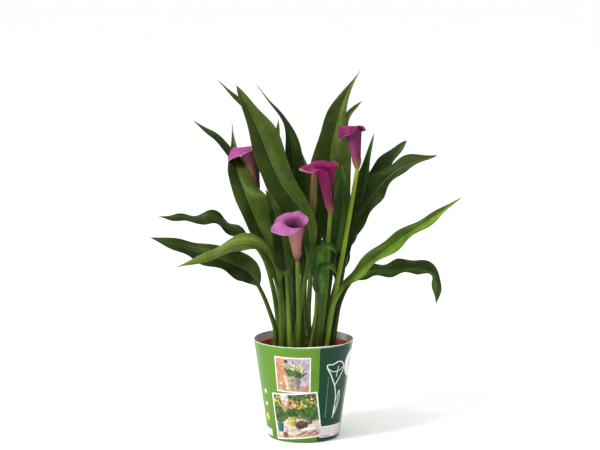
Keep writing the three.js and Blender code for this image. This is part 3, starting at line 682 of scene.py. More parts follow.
    def tones(
        self, leaf: Leaf, rings: Array, t: Array, b: Array, x: Array, over: Array, mid: Array, flat: Array,
        rng: np.random.Generator,
    ) -> Array:
        """The colour of every point of a leaf.

        The petiole goes from pale yellow-green in the soil to the leaf's own green. The blade is mottled by
        two sizes of noise, lighter along the midrib and the margins, paler underneath, and dry at its point.
        One half of the blade is painted lighter and the other darker, as painted light and shade across its
        fold, and a pale streak on its upper side is a painted highlight.
        """
        own = np.array(leaf.tint.value) * rng.uniform(0.92, 1.1)
        stem = colours(t / leaf.blade.start, (
            (0.0, (0.34, 0.36, 0.10)), (0.16, (0.16, 0.24, 0.026)), (0.5, (0.088, 0.150, 0.016)),
            (1.0, tuple(0.4 * own + 0.6 * np.array((0.06, 0.10, 0.018)))),
        )) * rng.choice([0.28, 0.55, 1.0, 1.6]) * rng.uniform(0.9, 1.1)
        patch = lattice_noise(rings, 26.0, seed_of(leaf.name)) - 0.5
        fleck = lattice_noise(rings, 7.0, seed_of(leaf.name) + 1) - 0.5
        # painted light and shade: one half of the blade is made lighter and the other darker, as light falls
        # across the fold
        lit_and_shaded_halves = np.where(x + 0 * patch > 0, rng.uniform(0.55, 0.85), rng.uniform(1.0, 1.4))
        green = own * ((1 + 0.62 * patch + 0.25 * fleck) * lit_and_shaded_halves)[..., None]
        green = mix(green, green * [1.5, 1.35, 1.1], 0.5 * smooth((np.abs(x[0]) - 0.8) / 0.2)[:, None])
        green = mix(green, green * [1.35, 1.25, 1.1] + [0.012, 0.014, 0.004],
                    smooth((b - 0.72) / 0.25)[:, None, None])
        # painted highlight: a pale streak along the upper side, where a glossy leaf catches the lamp
        painted_highlight = bump(x + rng.uniform(0.25, 0.6), 0.2) * smooth(lattice_noise(rings, 45.0,
                                                                             seed_of(leaf.name) + 2) * 2
                                                                             - 0.6)
        green = mix(green, green * 2.0 + [0.03, 0.035, 0.018], (0.55 * painted_highlight * (over > 0))[..., None])
        green = mix(green, green * 1.2 + [0.035, 0.05, 0.016], 0.75 * mid[..., None])
        under = green * [1.25, 1.3, 1.5] + [0.016, 0.022, 0.010]
        green = np.where(over[..., None] > 0, green, under)
        tone = mix(stem[:, None], green, smooth((flat - 0.05) / 0.9)[:, None, None])
        return mix(tone, np.array((0.33, 0.28, 0.17)), smooth((b - 0.985) / 0.015)[:, None, None])


# ---------------------------------------------------------------- flowers
class Palette(Enum):
    """A flower's colours: its stalk end, tube, tube's shaded side, outside of the lip, inside of the lip and
    throat."""

    LEFT = ((0.17, 0.15, 0.02), (0.26, 0.15, 0.075), (0.085, 0.018, 0.045), (0.22, 0.036, 0.15),
            (0.30, 0.065, 0.21),
            (0.06, 0.005, 0.025))
    CENTRE = ((0.26, 0.13, 0.06), (0.19, 0.020, 0.070), (0.11, 0.010, 0.045), (0.27, 0.007, 0.11),
              (0.21, 0.007, 0.09), (0.07, 0.003, 0.03))
    FRONT = ((0.14, 0.09, 0.035), (0.36, 0.20, 0.13), (0.30, 0.12, 0.12), (0.30, 0.070, 0.20),
             (0.36, 0.115, 0.28),
             (0.05, 0.003, 0.02))
    RIGHT_HIGH = ((0.22, 0.16, 0.05), (0.25, 0.055, 0.14), (0.15, 0.020, 0.078), (0.21, 0.020, 0.11),
                  (0.20, 0.020, 0.10), (0.06, 0.004, 0.025))


@dataclass(frozen=True)
class Stalk:
    """A flower's stalk: round, tapering from the soil to the flower, with faint ribs."""

    radius: float = 3.6
    top: float = 2.8
    rows: int = 120
    sides: int = 40

    def build(
        self, name: str, spine: Spine, axis: Triple, shades: Sequence[Colour], material: Material
    ) -> Piece:
        """Makes a stalk.

        Its sections are circles whose radius eases from the foot's to the top's, plus a ripple of a fiftieth
        of a millimetre in fourteen ribs.

        Args:
            name: The frame's node.
            spine: Where it runs.
            axis: The way the flower opens, square to the last section.
            shades: Its colours from the foot to the top.
            material: What it wears.

        Returns:
            The piece.
        """
        t = np.linspace(0, 1, self.rows)
        along = unit(mix(spine.along(t), unit(np.array(axis, float)), smooth((t - 0.97) / 0.03)[:, None]))
        side = unit(np.cross(np.array([0.0, -1.0, 0.0]), along))
        up = np.cross(along, side)
        turn = angles(self.sides)
        radius = mix(self.radius, self.top, smooth(t))[:, None] + 0.05 * np.cos(14 * turn)
        circle = np.cos(turn)[:, None] * side[:, None] + np.sin(turn)[:, None] * up[:, None]
        rings = spine.at(t)[:, None] + circle * radius[..., None]
        run = (t * spine.length)[:, None] + 0 * turn
        grain = np.stack([turn * self.radius + 0 * run, run, np.ones_like(run)], axis=-1)
        stops = [(k / (len(shades) - 1), shade) for k, shade in enumerate(shades)]
        tone = colours(run / spine.length, stops)
        tone = tone * (0.85 + 0.3 * lattice_noise(rings, 12.0, seed_of(name)))[..., None]
        return put(name + "_fine", [tube(rings, tone, grain)], material, name)


@dataclass(frozen=True)
class Spathe:
    """The rolled sheet of a flower: a trumpet whose edges overlap at the seam, with a lip that turns over."""

    wall: float = 1.0
    neck: float = 2.9
    base: float = 4.4
    throat: float = 11.5
    tube: float = 55.0
    seam_lip: float = 10.0
    tip_lip: float = 24.0
    tail: float = 7.0
    flare: float = 1.3
    tail_spread: float = 0.32
    overlap: Pair = (0.5, 1.5)  # radians of overlap at the throat and at the base
    rows: int = 150
    columns: int = 190
    roll_steps: int = 60

    def lip(self, turn: Array, size: float) -> Array:
        """How far the lip runs out: from the seam's to the tip's by half of 1 plus the cosine of the angle,
        to the power of the flare, plus a bell-shaped tail."""
        near = ((1 + np.cos(turn)) / 2) ** self.flare
        return size * (mix(self.seam_lip, self.tip_lip, near) + self.tail * bump(turn, self.tail_spread))

    def profile(self, flower: Flower, turn: Array, place: Array) -> tuple[Array, Array, Array]:
        """Points of the middle surface.

        Up to place 1 the tube widens with the height's share to the power of the flare. From 1 to 2 the lip
        runs on in small steps, each at a slope that eases from the tube's to the roll's.

        Args:
            flower: Its size and roll.
            turn: Angles from the tip's side, between minus and plus half a turn.
            place: Places along the profile, from 0 to 2.

        Returns:
            Radius, height and slope from the axis.
        """
        size = flower.size
        widening = self.throat * size - self.base
        s = np.clip(place, 0, 1)
        radius = self.base + widening * s**self.flare
        radius = mix(self.neck, radius, smooth(s * self.tube / 9.0))
        slope = np.arctan2(self.flare * widening * s ** (self.flare - 1), self.tube * size)
        end = math.atan2(self.flare * widening, self.tube * size)
        rolled = np.radians(mix(flower.roll[0] + 12.0, flower.roll[1], (1 + np.cos(turn)) / 2))
        step = (np.arange(self.roll_steps) + 0.5) / self.roll_steps
        bent = mix(end, 1.15 * rolled[..., None], smooth(flower.curl * step)) + 0.6 * smooth((step
                                                                                              - 0.75) / 0.25)
        length = self.lip(turn, size)[..., None] / self.roll_steps
        zero = np.zeros((*turn.shape, 1))
        outs = np.concatenate([zero, np.cumsum(length * np.sin(bent), axis=-1)], axis=-1)
        ups = np.concatenate([zero, np.cumsum(length * np.cos(bent), axis=-1)], axis=-1)
        slopes = np.concatenate([zero + end, bent], axis=-1)
        at = np.clip(place - 1, 0, 1) * self.roll_steps
        low = np.minimum(at.astype(int), self.roll_steps - 1)
        part = at - low

        def pick(table: Array) -> Array:
            """The table's values at each place, mixed between two neighbours."""
            first = np.take_along_axis(table, low[..., None], axis=-1)[..., 0]
            second = np.take_along_axis(table, low[..., None] + 1, axis=-1)[..., 0]
            return mix(first, second, part)

        past = place > 1
        return (radius + pick(outs), self.tube * size * s + pick(ups), np.where(past, pick(slopes), slope))

    def build(self, flower: Flower, axes: Array, origin: Array, material: Material) -> Piece:
        """Makes a spathe.

        The sheet goes once round and a little more. Its last edge lies outside its first by a wall and a gap.
        Near those edges it ends lower, so that they run down into the tube from the lip in a curve. Two skins
        stand half a wall off it along its normals, thinner towards its edges.

        Args:
            flower: Its size and shape.
            axes: Its own axes as rows: towards the tip, across, along the flower.
            origin: The stalk's end.
            material: What it wears.

        Returns:
            The piece.
        """
        rng = np.random.default_rng(seed_of(flower.name))
        phase = rng.uniform(0, 2 * math.pi, 4)
        c = np.linspace(0, 1, self.columns)[None, :]
        v = np.linspace(0, 1, self.rows)[:, None]
        seam = math.radians(flower.seam)
        spread = mix(self.overlap[1], self.overlap[0], smooth(np.minimum(2 * v, 1)))
        start, end = seam - 0.5, seam + 2 * math.pi + spread - 0.5
        angle = mix(start, end, c)
        edge = np.minimum(angle - start, end - angle)
        free = smooth(edge / 1.0)
        reach = mix(-flower.dip / self.tube, 1.0, 1 - (1 - np.clip(edge / flower.gape, 0, 1)) ** 2.2)
        place = v * (1 + reach)
        turn = (angle + math.pi) % (2 * math.pi) - math.pi
        radius, height, slope = self.profile(flower, turn, place)
        step = (self.wall + 0.35) / 2
        shift = step * (smooth((angle - end + 1.1) / 1.1) - smooth((start + 1.1 - angle) / 1.1))
        past = np.clip(place - 1, 0, 1)
        wave = past**2 * (0.9 * np.sin(5 * turn + phase[0]) + 0.6 * np.sin(9 * turn + phase[1])) * free
        off = shift * smooth(place * self.tube / 6.0) + wave
        radius = radius + off * np.cos(slope)
        height = height - off * np.sin(slope)
        own = polar(radius, angle, height)
        normal = unit(np.cross(np.gradient(own, axis=1), np.gradient(own, axis=0)))
        thick = self.wall / 2 * mix(1.0, 0.45, smooth(past)) * mix(0.35, 1.0, smooth(edge / 0.12))
        thick = thick * mix(0.4, 1.0, smooth((1 - v) / 0.03))
        skins = [own + normal * thick[..., None], own - normal * thick[..., None]]
        world = [origin + skin @ axes for skin in skins]
        gaps = (end - angle, angle - start - spread)
        tones = tuple(self.tones(flower, place, turn, out, own, gaps) for out in (True, False))
        around = angle * self.throat * flower.size + 0 * place
        up = place * self.tube * flower.size
        grains = tuple(np.stack([around, up, side + 0 * up], axis=-1) for side in (1.0, 0.0))
        name = f"spathe_{flower.name}"
        return put(name + "_fine", [sheet(*world, tones, grains)], material, name)

    def tones(
        self, flower: Flower, place: Array, turn: Array, outside: bool, own: Array, gaps: tuple[Array, Array]
    ) -> Array:
        """The colour of one skin: from the stalk's green through the tube to the lip, streaked along the
        veins, darker on the side away from the tip, with a pale line at the lip's edge and a green point. The
        outer edge of the overlap carries a pale painted highlight, and the sheet that comes out from under it
        has a painted shadow next to that edge."""
        foot, tube_, shade, lip, inside, throat = (np.array(value)
                                                   for value in Palette[flower.name.upper()].value)
        away = smooth(0.5 - 0.75 * np.cos(turn))[..., None]
        wall = mix(tube_, shade, away)
        if outside:
            stops = smooth(place / 0.35)[..., None]
            tone = mix(foot, wall, stops)
            tone = mix(tone, mix(lip, shade, 0.45 * away), smooth((place - 0.5) / 0.7)[..., None])
        else:
            tone = mix(throat, inside, smooth((place - 0.62) / 0.42)[..., None])
        streak = np.sin(23 * turn) * np.sin(41 * turn + 1.3) + 0.5 * np.sin(67 * turn)
        tone = tone * (1 + 0.10 * streak * smooth(2.0 - place))[..., None]
        cloud = lattice_noise(own + 500.0, 9.0, seed_of(flower.name)) - 0.5
        tone = tone * (1 + 0.35 * cloud)[..., None]
        if outside:
            # painted highlight: a pale line along the outer edge of the overlap
            pale = (bump(gaps[0], 0.07) * smooth((place - 0.1) / 0.2))[..., None]
            tone = mix(tone, tone * 0.6 + 0.4 * np.array((0.72, 0.40, 0.52)), 0.8 * pale)
            # painted shadow: the sheet is darkened where it comes out from under the overlapping edge
            under = (smooth((0.55 - gaps[1]) / 0.6) * (gaps[1] > -0.6))[..., None]
            tone = mix(tone, tone * [0.30, 0.22, 0.28], 0.8 * under)
        rim = smooth((place - 1.9) / 0.08)[..., None]
        tone = mix(tone, tone * 0.75 + 0.25 * np.array((0.75, 0.45, 0.62)), rim)
        point = (smooth((place - 1.86) / 0.12) * bump(turn, 0.14))[..., None]
        return mix(tone, np.array((0.25, 0.30, 0.08)), 0.85 * point)


@dataclass(frozen=True)
class Finger:
    """A round finger on the flower's axis: a spadix of small grains, or a bud rolled up in its own sheet."""

    radius: float
    neck: float
    length: float
    rows: int = 150
    sides: int = 110

    def rings(self, grains: float = 0.0, roll: float = 0.0) -> tuple[Array, Array, Array]:
        """Points about the axis.

        The radius follows a smooth curve from the neck to the widest and round to a point. A spadix's grains
        are where two families of spirals, 8 and 13 to the turn, both crest. A bud's sheet steps out once to
        the turn along a spiral seam.

        Args:
            grains: How far the grains stand out.
            roll: How far the sheet's edge steps out.

        Returns:
            Points as rings, their angles, and their shares of the length.
        """
        share = np.linspace(0, 1, self.rows)[:, None]
        turn = angles(self.sides)[None, :]
        marks = [0, 0.04, 0.15, 0.35, 0.65, 0.85, 0.96, 1.0]
        sizes = [self.neck, self.neck * 1.15, 0.92 * self.radius, self.radius, 0.86 * self.radius,
                 0.6 * self.radius, 0.3 * self.radius, 0.06 * self.radius]
        fine = np.interp(share, marks, sizes)
        soft = np.convolve(np.pad(fine[:, 0], 4, mode="edge"), np.ones(9) / 9, mode="valid")[:, None]
        height = share * self.length
        crest = (0.5 + 0.5 * np.cos(8 * turn + 1.9 * height)) * (0.5 + 0.5 * np.cos(13 * turn - 1.3 * height))
        wound = ((turn + 2.4 * share) / (2 * math.pi)) % 1.0
        stepped = roll * (wound - smooth((wound - 0.965) / 0.035))
        radius = soft + grains * crest * smooth(height / 2) + stepped * smooth((1 - share) / 0.1)
        points = polar(radius, turn, height)
        return points, turn + 0 * share, share + 0 * turn


@dataclass(frozen=True)
class Bouquet:
    """The four flowers and the bud."""

    stalk: Stalk = Stalk()
    spathe: Spathe = Spathe()
    spadix: Finger = Finger(3.0, 2.0, 30.0)
    bud: Finger = Finger(4.6, 3.2, 60.0)
    floor: float = 3.0  # of the spathe's tube, where the spadix stands

    @staticmethod
    def axes(axis: Triple, tip: Triple) -> Array:
        """A flower's own axes as rows: towards its tip, across, and along the way it opens."""
        z = unit(np.array(axis, float))
        y = unit(np.cross(z, np.array(tip, float)))
        return np.array([np.cross(y, z), y, z])

    def build(self, finishes: dict[str, Material]) -> None:
        """Makes every stalk, spathe and spadix, and the bud.

        Args:
            finishes: The materials by name.
        """
        green = ((0.20, 0.24, 0.06), (0.10, 0.17, 0.022), (0.075, 0.145, 0.016), (0.13, 0.18, 0.022))
        lime = ((0.20, 0.24, 0.06), (0.17, 0.25, 0.022), (0.22, 0.31, 0.024), (0.25, 0.30, 0.04))
        for flower in FLOWERS:
            spine = ROOTS.spine(flower.root, flower.spine)
            shades = lime if flower.name == "right_high" else green
            self.stalk.build(f"flower_stalk_{flower.name}", spine, flower.axis, shades, finishes["stalk"])
            own = self.axes(flower.axis, flower.tip)
            origin = spine.at(np.ones(1))[0] + own[2] * FIT
            self.spathe.build(flower, own, origin, finishes["spathe"])
            points, turn, share = self.spadix.rings(grains=0.34)
            places = origin + own[2] * (self.floor + FIT) + points @ own
            tone = colours(share, ((0, (0.42, 0.36, 0.08)), (0.3, (0.72, 0.46, 0.06)),
                                   (1, (0.80, 0.52, 0.09))))
            grain = np.stack([turn * self.spadix.radius, share * self.spadix.length, 0 * share], axis=-1)
            name = f"spadix_{flower.name}"
            put(name + "_fine", [tube(places, tone, grain)], finishes["spadix"], name)
        spine = ROOTS.spine(BUD_ROOT, BUD_SPINE)
        self.stalk.build("flower_stalk_bud", spine, BUD_AXIS, green, finishes["stalk"])
        own = self.axes(BUD_AXIS, (-1, 0, 0))
        points, turn, share = self.bud.rings(roll=0.9)
        places = spine.at(np.ones(1))[0] + own[2] * FIT + points @ own
        tone = colours(share, (
            (0.0, (0.10, 0.12, 0.02)), (0.2, (0.17, 0.12, 0.035)), (0.6, (0.19, 0.11, 0.04)),
            (1.0, (0.17, 0.06, 0.06)),
        ))
        tone = tone * (0.8 + 0.4 * lattice_noise(places, 6.0, 77))[..., None]
        grain = np.stack([turn * self.bud.radius, share * self.bud.length, np.ones_like(share)], axis=-1)
        put("bud_fine", [tube(places, tone, grain)], finishes["bud"], "bud")


# ---------------------------------------------------------------- finishes
class Board:
    """A material's or a group's nodes under way, with short ways to add and join them."""

    def __init__(self, tree: Tree) -> None:
        """Keeps the tree to work on."""
        self.tree = tree

    def add(self, kind: str, settings: dict | None = None, **inputs: object) -> bpy.types.Node:
        """Adds a node.

        Args:
            kind: The node's type, without the word ShaderNode in front.
            settings: The node's own choices.
            **inputs: Values or other nodes' sockets for its inputs; a name's low line stands for a space.

        Returns:
            The node.
        """
        node = self.tree.nodes.new("ShaderNode" + kind)
        for name, value in (settings or {}).items():
            setattr(node, name, value)
        for name, value in inputs.items():
            self.feed(node.inputs[name.replace("_", " ")], value)
        return node

    def feed(self, socket: Socket, value: object) -> None:
        """Joins a socket to an input, or sets the input's own value."""
        if isinstance(value, Socket):
            self.tree.links.new(value, socket)
        elif isinstance(value, tuple) and socket.type == "RGBA":
            socket.default_value = (*value, 1.0)
        else:
            socket.default_value = value

    def sum(self, operation: str, *terms: object, clamp: bool = False) -> Socket:
        """One step of arithmetic on one to three numbers or sockets."""
        node = self.add("Math", {"operation": operation, "use_clamp": clamp})
        for socket, term in zip(node.inputs, terms):
            self.feed(socket, term)
        return node.outputs[0]

    def times(self, first: object, second: object) -> Socket:
        """One value times another."""
        return self.sum("MULTIPLY", first, second)

    def plus(self, first: object, second: object) -> Socket:
        """One value and another."""
        return self.sum("ADD", first, second)

    def less(self, first: object, second: object) -> Socket:
        """One value less another."""
        return self.sum("SUBTRACT", first, second)

    def ease(self, value: object, low: float, high: float, first: float = 0.0, last: float = 1.0) -> Socket:
        """A value eased from first to last as it goes from low to high."""
        node = self.add("MapRange", {"interpolation_type": "SMOOTHSTEP"}, Value=value, From_Min=low,
                        From_Max=high,
                        To_Min=first, To_Max=last)
        return node.outputs["Result"]

    def blend(self, share: object, first: object, second: object, way: str = "MIX") -> Socket:
        """Two colours mixed, or one put on the other in another way."""
        node = self.add("Mix", {"data_type": "RGBA", "blend_type": way})
        for place, value in ((0, share), (6, first), (7, second)):
            self.feed(node.inputs[place], value)
        return node.outputs[2]

    def noise(self, place: object, scale: float, detail: float = 3.0, rough: float = 0.55) -> Socket:
        """Cloudy noise from 0 to 1, of so many features to the metre."""
        return self.add("TexNoise", Vector=place, Scale=scale, Detail=detail, Roughness=rough).outputs["Fac"]

    def place(self) -> Socket:
        """Where a point is on its piece, in metres."""
        return self.add("TexCoord").outputs["Object"]

    def painted(self, name: str, colour: bool = False) -> Socket:
        """What is stored on the piece's points under a name."""
        node = self.add("Attribute", {"attribute_name": name})
        return node.outputs["Color" if colour else "Vector"]

    def use(self, group: Tree, **inputs: object) -> bpy.types.Node:
        """Places a group."""
        node = self.tree.nodes.new("ShaderNodeGroup")
        node.node_tree = group
        for name, value in inputs.items():
            self.feed(node.inputs[name.replace("_", " ")], value)
        return node


def group_of(
    name: str, inputs: dict[str, str], outputs: dict[str, str]
) -> tuple[Board, bpy.types.Node, bpy.types.Node]:
    """Starts a shader node group.

    Args:
        name: The group's name.
        inputs: Its inputs and their kinds.
        outputs: Its outputs and their kinds.

    Returns:
        Its board, the node with its inputs and the node that takes its outputs.
    """
    tree = bpy.data.node_groups.new(name, "ShaderNodeTree")
    for label, kind in inputs.items():
        tree.interface.new_socket(label, in_out="INPUT", socket_type="NodeSocket" + kind)
    for label, kind in outputs.items():
        tree.interface.new_socket(label, in_out="OUTPUT", socket_type="NodeSocket" + kind)
    return Board(tree), tree.nodes.new("NodeGroupInput"), tree.nodes.new("NodeGroupOutput")


class Effects:
    """What several finishes share: mottling, veins and specks of dust."""

    def __init__(self) -> None:
        """Builds the groups."""
        self.mottle = self._mottle()
        self.veins = self._veins()
        self.dust = self._dust()

    @staticmethod
    def _mottle() -> Tree:
        """A colour made lighter and darker by cloudy noise of two sizes, and a value for roughness."""
        board, start, end = group_of("mottle", {"Colour": "Color", "Place": "Vector", "Scale": "Float",
                                                "Depth": "Float"},
                                     {"Colour": "Color", "Value": "Float"})
        colour, place, scale, depth = list(start.outputs)[:4]
        broad = board.noise(place, 1.0)
        board.feed(broad.node.inputs["Scale"], scale)
        fine = board.noise(place, 1.0, 2.0)
        board.feed(fine.node.inputs["Scale"], board.times(scale, 6.3))
        value = board.plus(board.times(broad, 0.62), board.times(fine, 0.38))
        swing = board.times(board.less(value, 0.5), depth)
        gain = board.plus(board.times(swing, 2.0), 1.0)
        vary = board.add("CombineColor", Red=gain, Green=gain, Blue=gain).outputs[0]
        board.feed(end.inputs["Colour"], board.blend(1.0, colour, vary, "MULTIPLY"))
        board.feed(end.inputs["Value"], value)
        return board.tree

    @staticmethod
    def _veins() -> Tree:
        """Fine lines square to a coordinate: a sine to the power of the sharpness, the coordinate pushed
        about by noise so that no two lines run quite alike."""
        board, start, end = group_of("veins", {"Across": "Float", "Place": "Vector", "Spacing": "Float",
                                               "Sharpness": "Float"},
                                     {"Line": "Float"})
        across, place, spacing, sharpness = list(start.outputs)[:4]
        push = board.times(board.less(board.noise(place, 55.0, 2.0), 0.5), 2.2)
        turns = board.sum("DIVIDE", board.plus(across, push), spacing)
        wave = board.sum("SINE", board.times(turns, 2 * math.pi))
        lifted = board.plus(board.times(wave, 0.5), 0.5)
        board.feed(end.inputs["Line"], board.sum("POWER", lifted, sharpness))
        return board.tree

    @staticmethod
    def _dust() -> Tree:
        """A colour with a thin uneven film of pale dust, and how much of it there is at each point."""
        board, start, end = group_of("dust", {"Colour": "Color", "Place": "Vector", "Amount": "Float"},
                                     {"Colour": "Color", "Film": "Float"})
        colour, place, amount = list(start.outputs)[:3]
        cloud = board.ease(board.noise(place, 60.0, 4.0, 0.65), 0.42, 0.8)
        speck = board.ease(board.noise(place, 1500.0, 1.0), 0.70, 0.76)
        film = board.times(board.plus(cloud, board.times(speck, 0.6)), amount)
        board.feed(end.inputs["Colour"], board.blend(film, colour, (0.50, 0.48, 0.43)))
        board.feed(end.inputs["Film"], film)
        return board.tree


@dataclass(frozen=True)
class Gloss:
    """The plain numbers of a finish, set on the shader itself."""

    coat: float = 0.0
    coat_roughness: float = 0.2
    sheen: float = 0.0
    through: float = 0.0
    depth: float = 0.002
    tint: Colour = (1.0, 0.4, 0.5)
    level: float = 0.5
    shine: Colour = (1.0, 1.0, 1.0)


@dataclass(frozen=True)
class Plain:
    """A finish of one colour, or of the painted ones: how big and deep its mottling is, the roughness that it
    runs between, its dust, and the features to the metre, detail, strength and depth of its relief."""

    mottle: Pair
    rough: Pair
    relief: tuple[float, float, float, float]
    colour: Colour | None = None
    dust: float = 0.0
    gloss: Gloss = Gloss()


PLAIN = {
    # mealy yellow, with powder between the grains
    "spadix": Plain((420.0, 0.5), (0.58, 0.74), (1800.0, 2.0, 0.5, 0.0002),
                    gloss=Gloss(sheen=0.1, through=0.1, tint=(1.0, 0.7, 0.2))),
    # stuck-on paper with faint fibres
    "sticker": Plain((300.0, 0.09), (0.42, 0.55), (900.0, 3.0, 0.3, 0.00006), dust=0.05,
                     gloss=Gloss(coat=0.1, coat_roughness=0.35)),
    # thin blown plastic in terracotta, with mould grain and earth on it
    "nursery": Plain((55.0, 0.2), (0.48, 0.62), (1300.0, 2.0, 0.35, 0.0001), (0.66, 0.150, 0.100), 0.12,
                     Gloss(level=0.45)),
    # damp peat
    "soil": Plain((380.0, 0.9), (0.66, 0.95), (900.0, 5.0, 0.8, 0.0008), gloss=Gloss(level=0.4)),
    # ink on varnished card
    "print": Plain((110.0, 0.07), (0.36, 0.44), (700.0, 2.0, 0.25, 0.00006),
                   gloss=Gloss(0.08, 0.25, level=0.3)),
    # a pale sweep, barely uneven
    "floor": Plain((3.0, 0.01), (0.85, 0.95), (40.0, 2.0, 0.05, 0.0001), (0.945, 0.945, 0.945),
                   gloss=Gloss(level=0.2)),
}


class Finish:
    """One material under way: its board, its shader and the pattern's place."""

    def __init__(self, name: str, effects: Effects, gloss: Gloss) -> None:
        """Makes the material and sets its shader's plain numbers."""
        self.material = bpy.data.materials.new(name)
        self.material.use_nodes = True
        self.material.node_tree.nodes.clear()
        self.board = Board(self.material.node_tree)
        self.effects = effects
        self.shader = self.board.add("BsdfPrincipled")
        for label, value in {
            "Coat Weight": gloss.coat, "Coat Roughness": gloss.coat_roughness, "Sheen Weight": gloss.sheen,
            "Specular IOR Level": gloss.level, "Specular Tint": (*gloss.shine, 1.0),
            "Subsurface Weight": gloss.through, "Subsurface Scale": gloss.depth,
            "Subsurface Radius": gloss.tint,
        }.items():
            self.shader.inputs[label].default_value = value
        self.board.add("OutputMaterial", Surface=self.shader.outputs[0])
        self.place = self.board.place()
        self.painted = self.board.painted("tone", True)

    def mottled(self, colour: object, scale: float, depth: float) -> tuple[Socket, Socket]:
        """A colour with the mottling on it, and the mottling's own value."""
        node = self.board.use(self.effects.mottle, Colour=colour, Place=self.place, Scale=scale, Depth=depth)
        return node.outputs[0], node.outputs[1]

    def lines(self, across: object, spacing: float, sharpness: float) -> Socket:
        """Veins square to a coordinate."""
        return self.board.use(self.effects.veins, Across=across, Place=self.place, Spacing=spacing,
                              Sharpness=sharpness).outputs[0]

    def dusty(self, colour: object, amount: float) -> tuple[Socket, Socket]:
        """A colour with dust on it, and the dust's own value."""
        node = self.board.use(self.effects.dust, Colour=colour, Place=self.place, Amount=amount)
        return node.outputs[0], node.outputs[1]

    def shaded(self, colour: object, by: Colour, share: object) -> Socket:
        """A colour, and where the share says so the same colour times another."""
        return self.board.blend(share, colour, self.board.blend(1.0, colour, by, "MULTIPLY"))

    def grain(self) -> Sequence[Socket]:
        """The three values stored on the points."""
        return self.board.add("SeparateXYZ", Vector=self.board.painted("grain")).outputs

    def close(self, colour: object, rough: object, height: object, strength: float, depth: float) -> Material:
        """Joins the colour, the roughness and the relief to the shader.

        Args:
            colour: The surface's colour.
            rough: Its roughness.
            height: How far it stands up, for the light to fall by.
            strength: How much of that shows.
            depth: The height's unit, in metres.

        Returns:
            The material.
        """
        self.board.feed(self.shader.inputs["Base Color"], colour)
        self.board.feed(self.shader.inputs["Roughness"], rough)
        relief = self.board.add("Bump", Height=height, Strength=strength, Distance=depth)
        self.board.feed(self.shader.inputs["Normal"], relief.outputs[0])
        return self.material


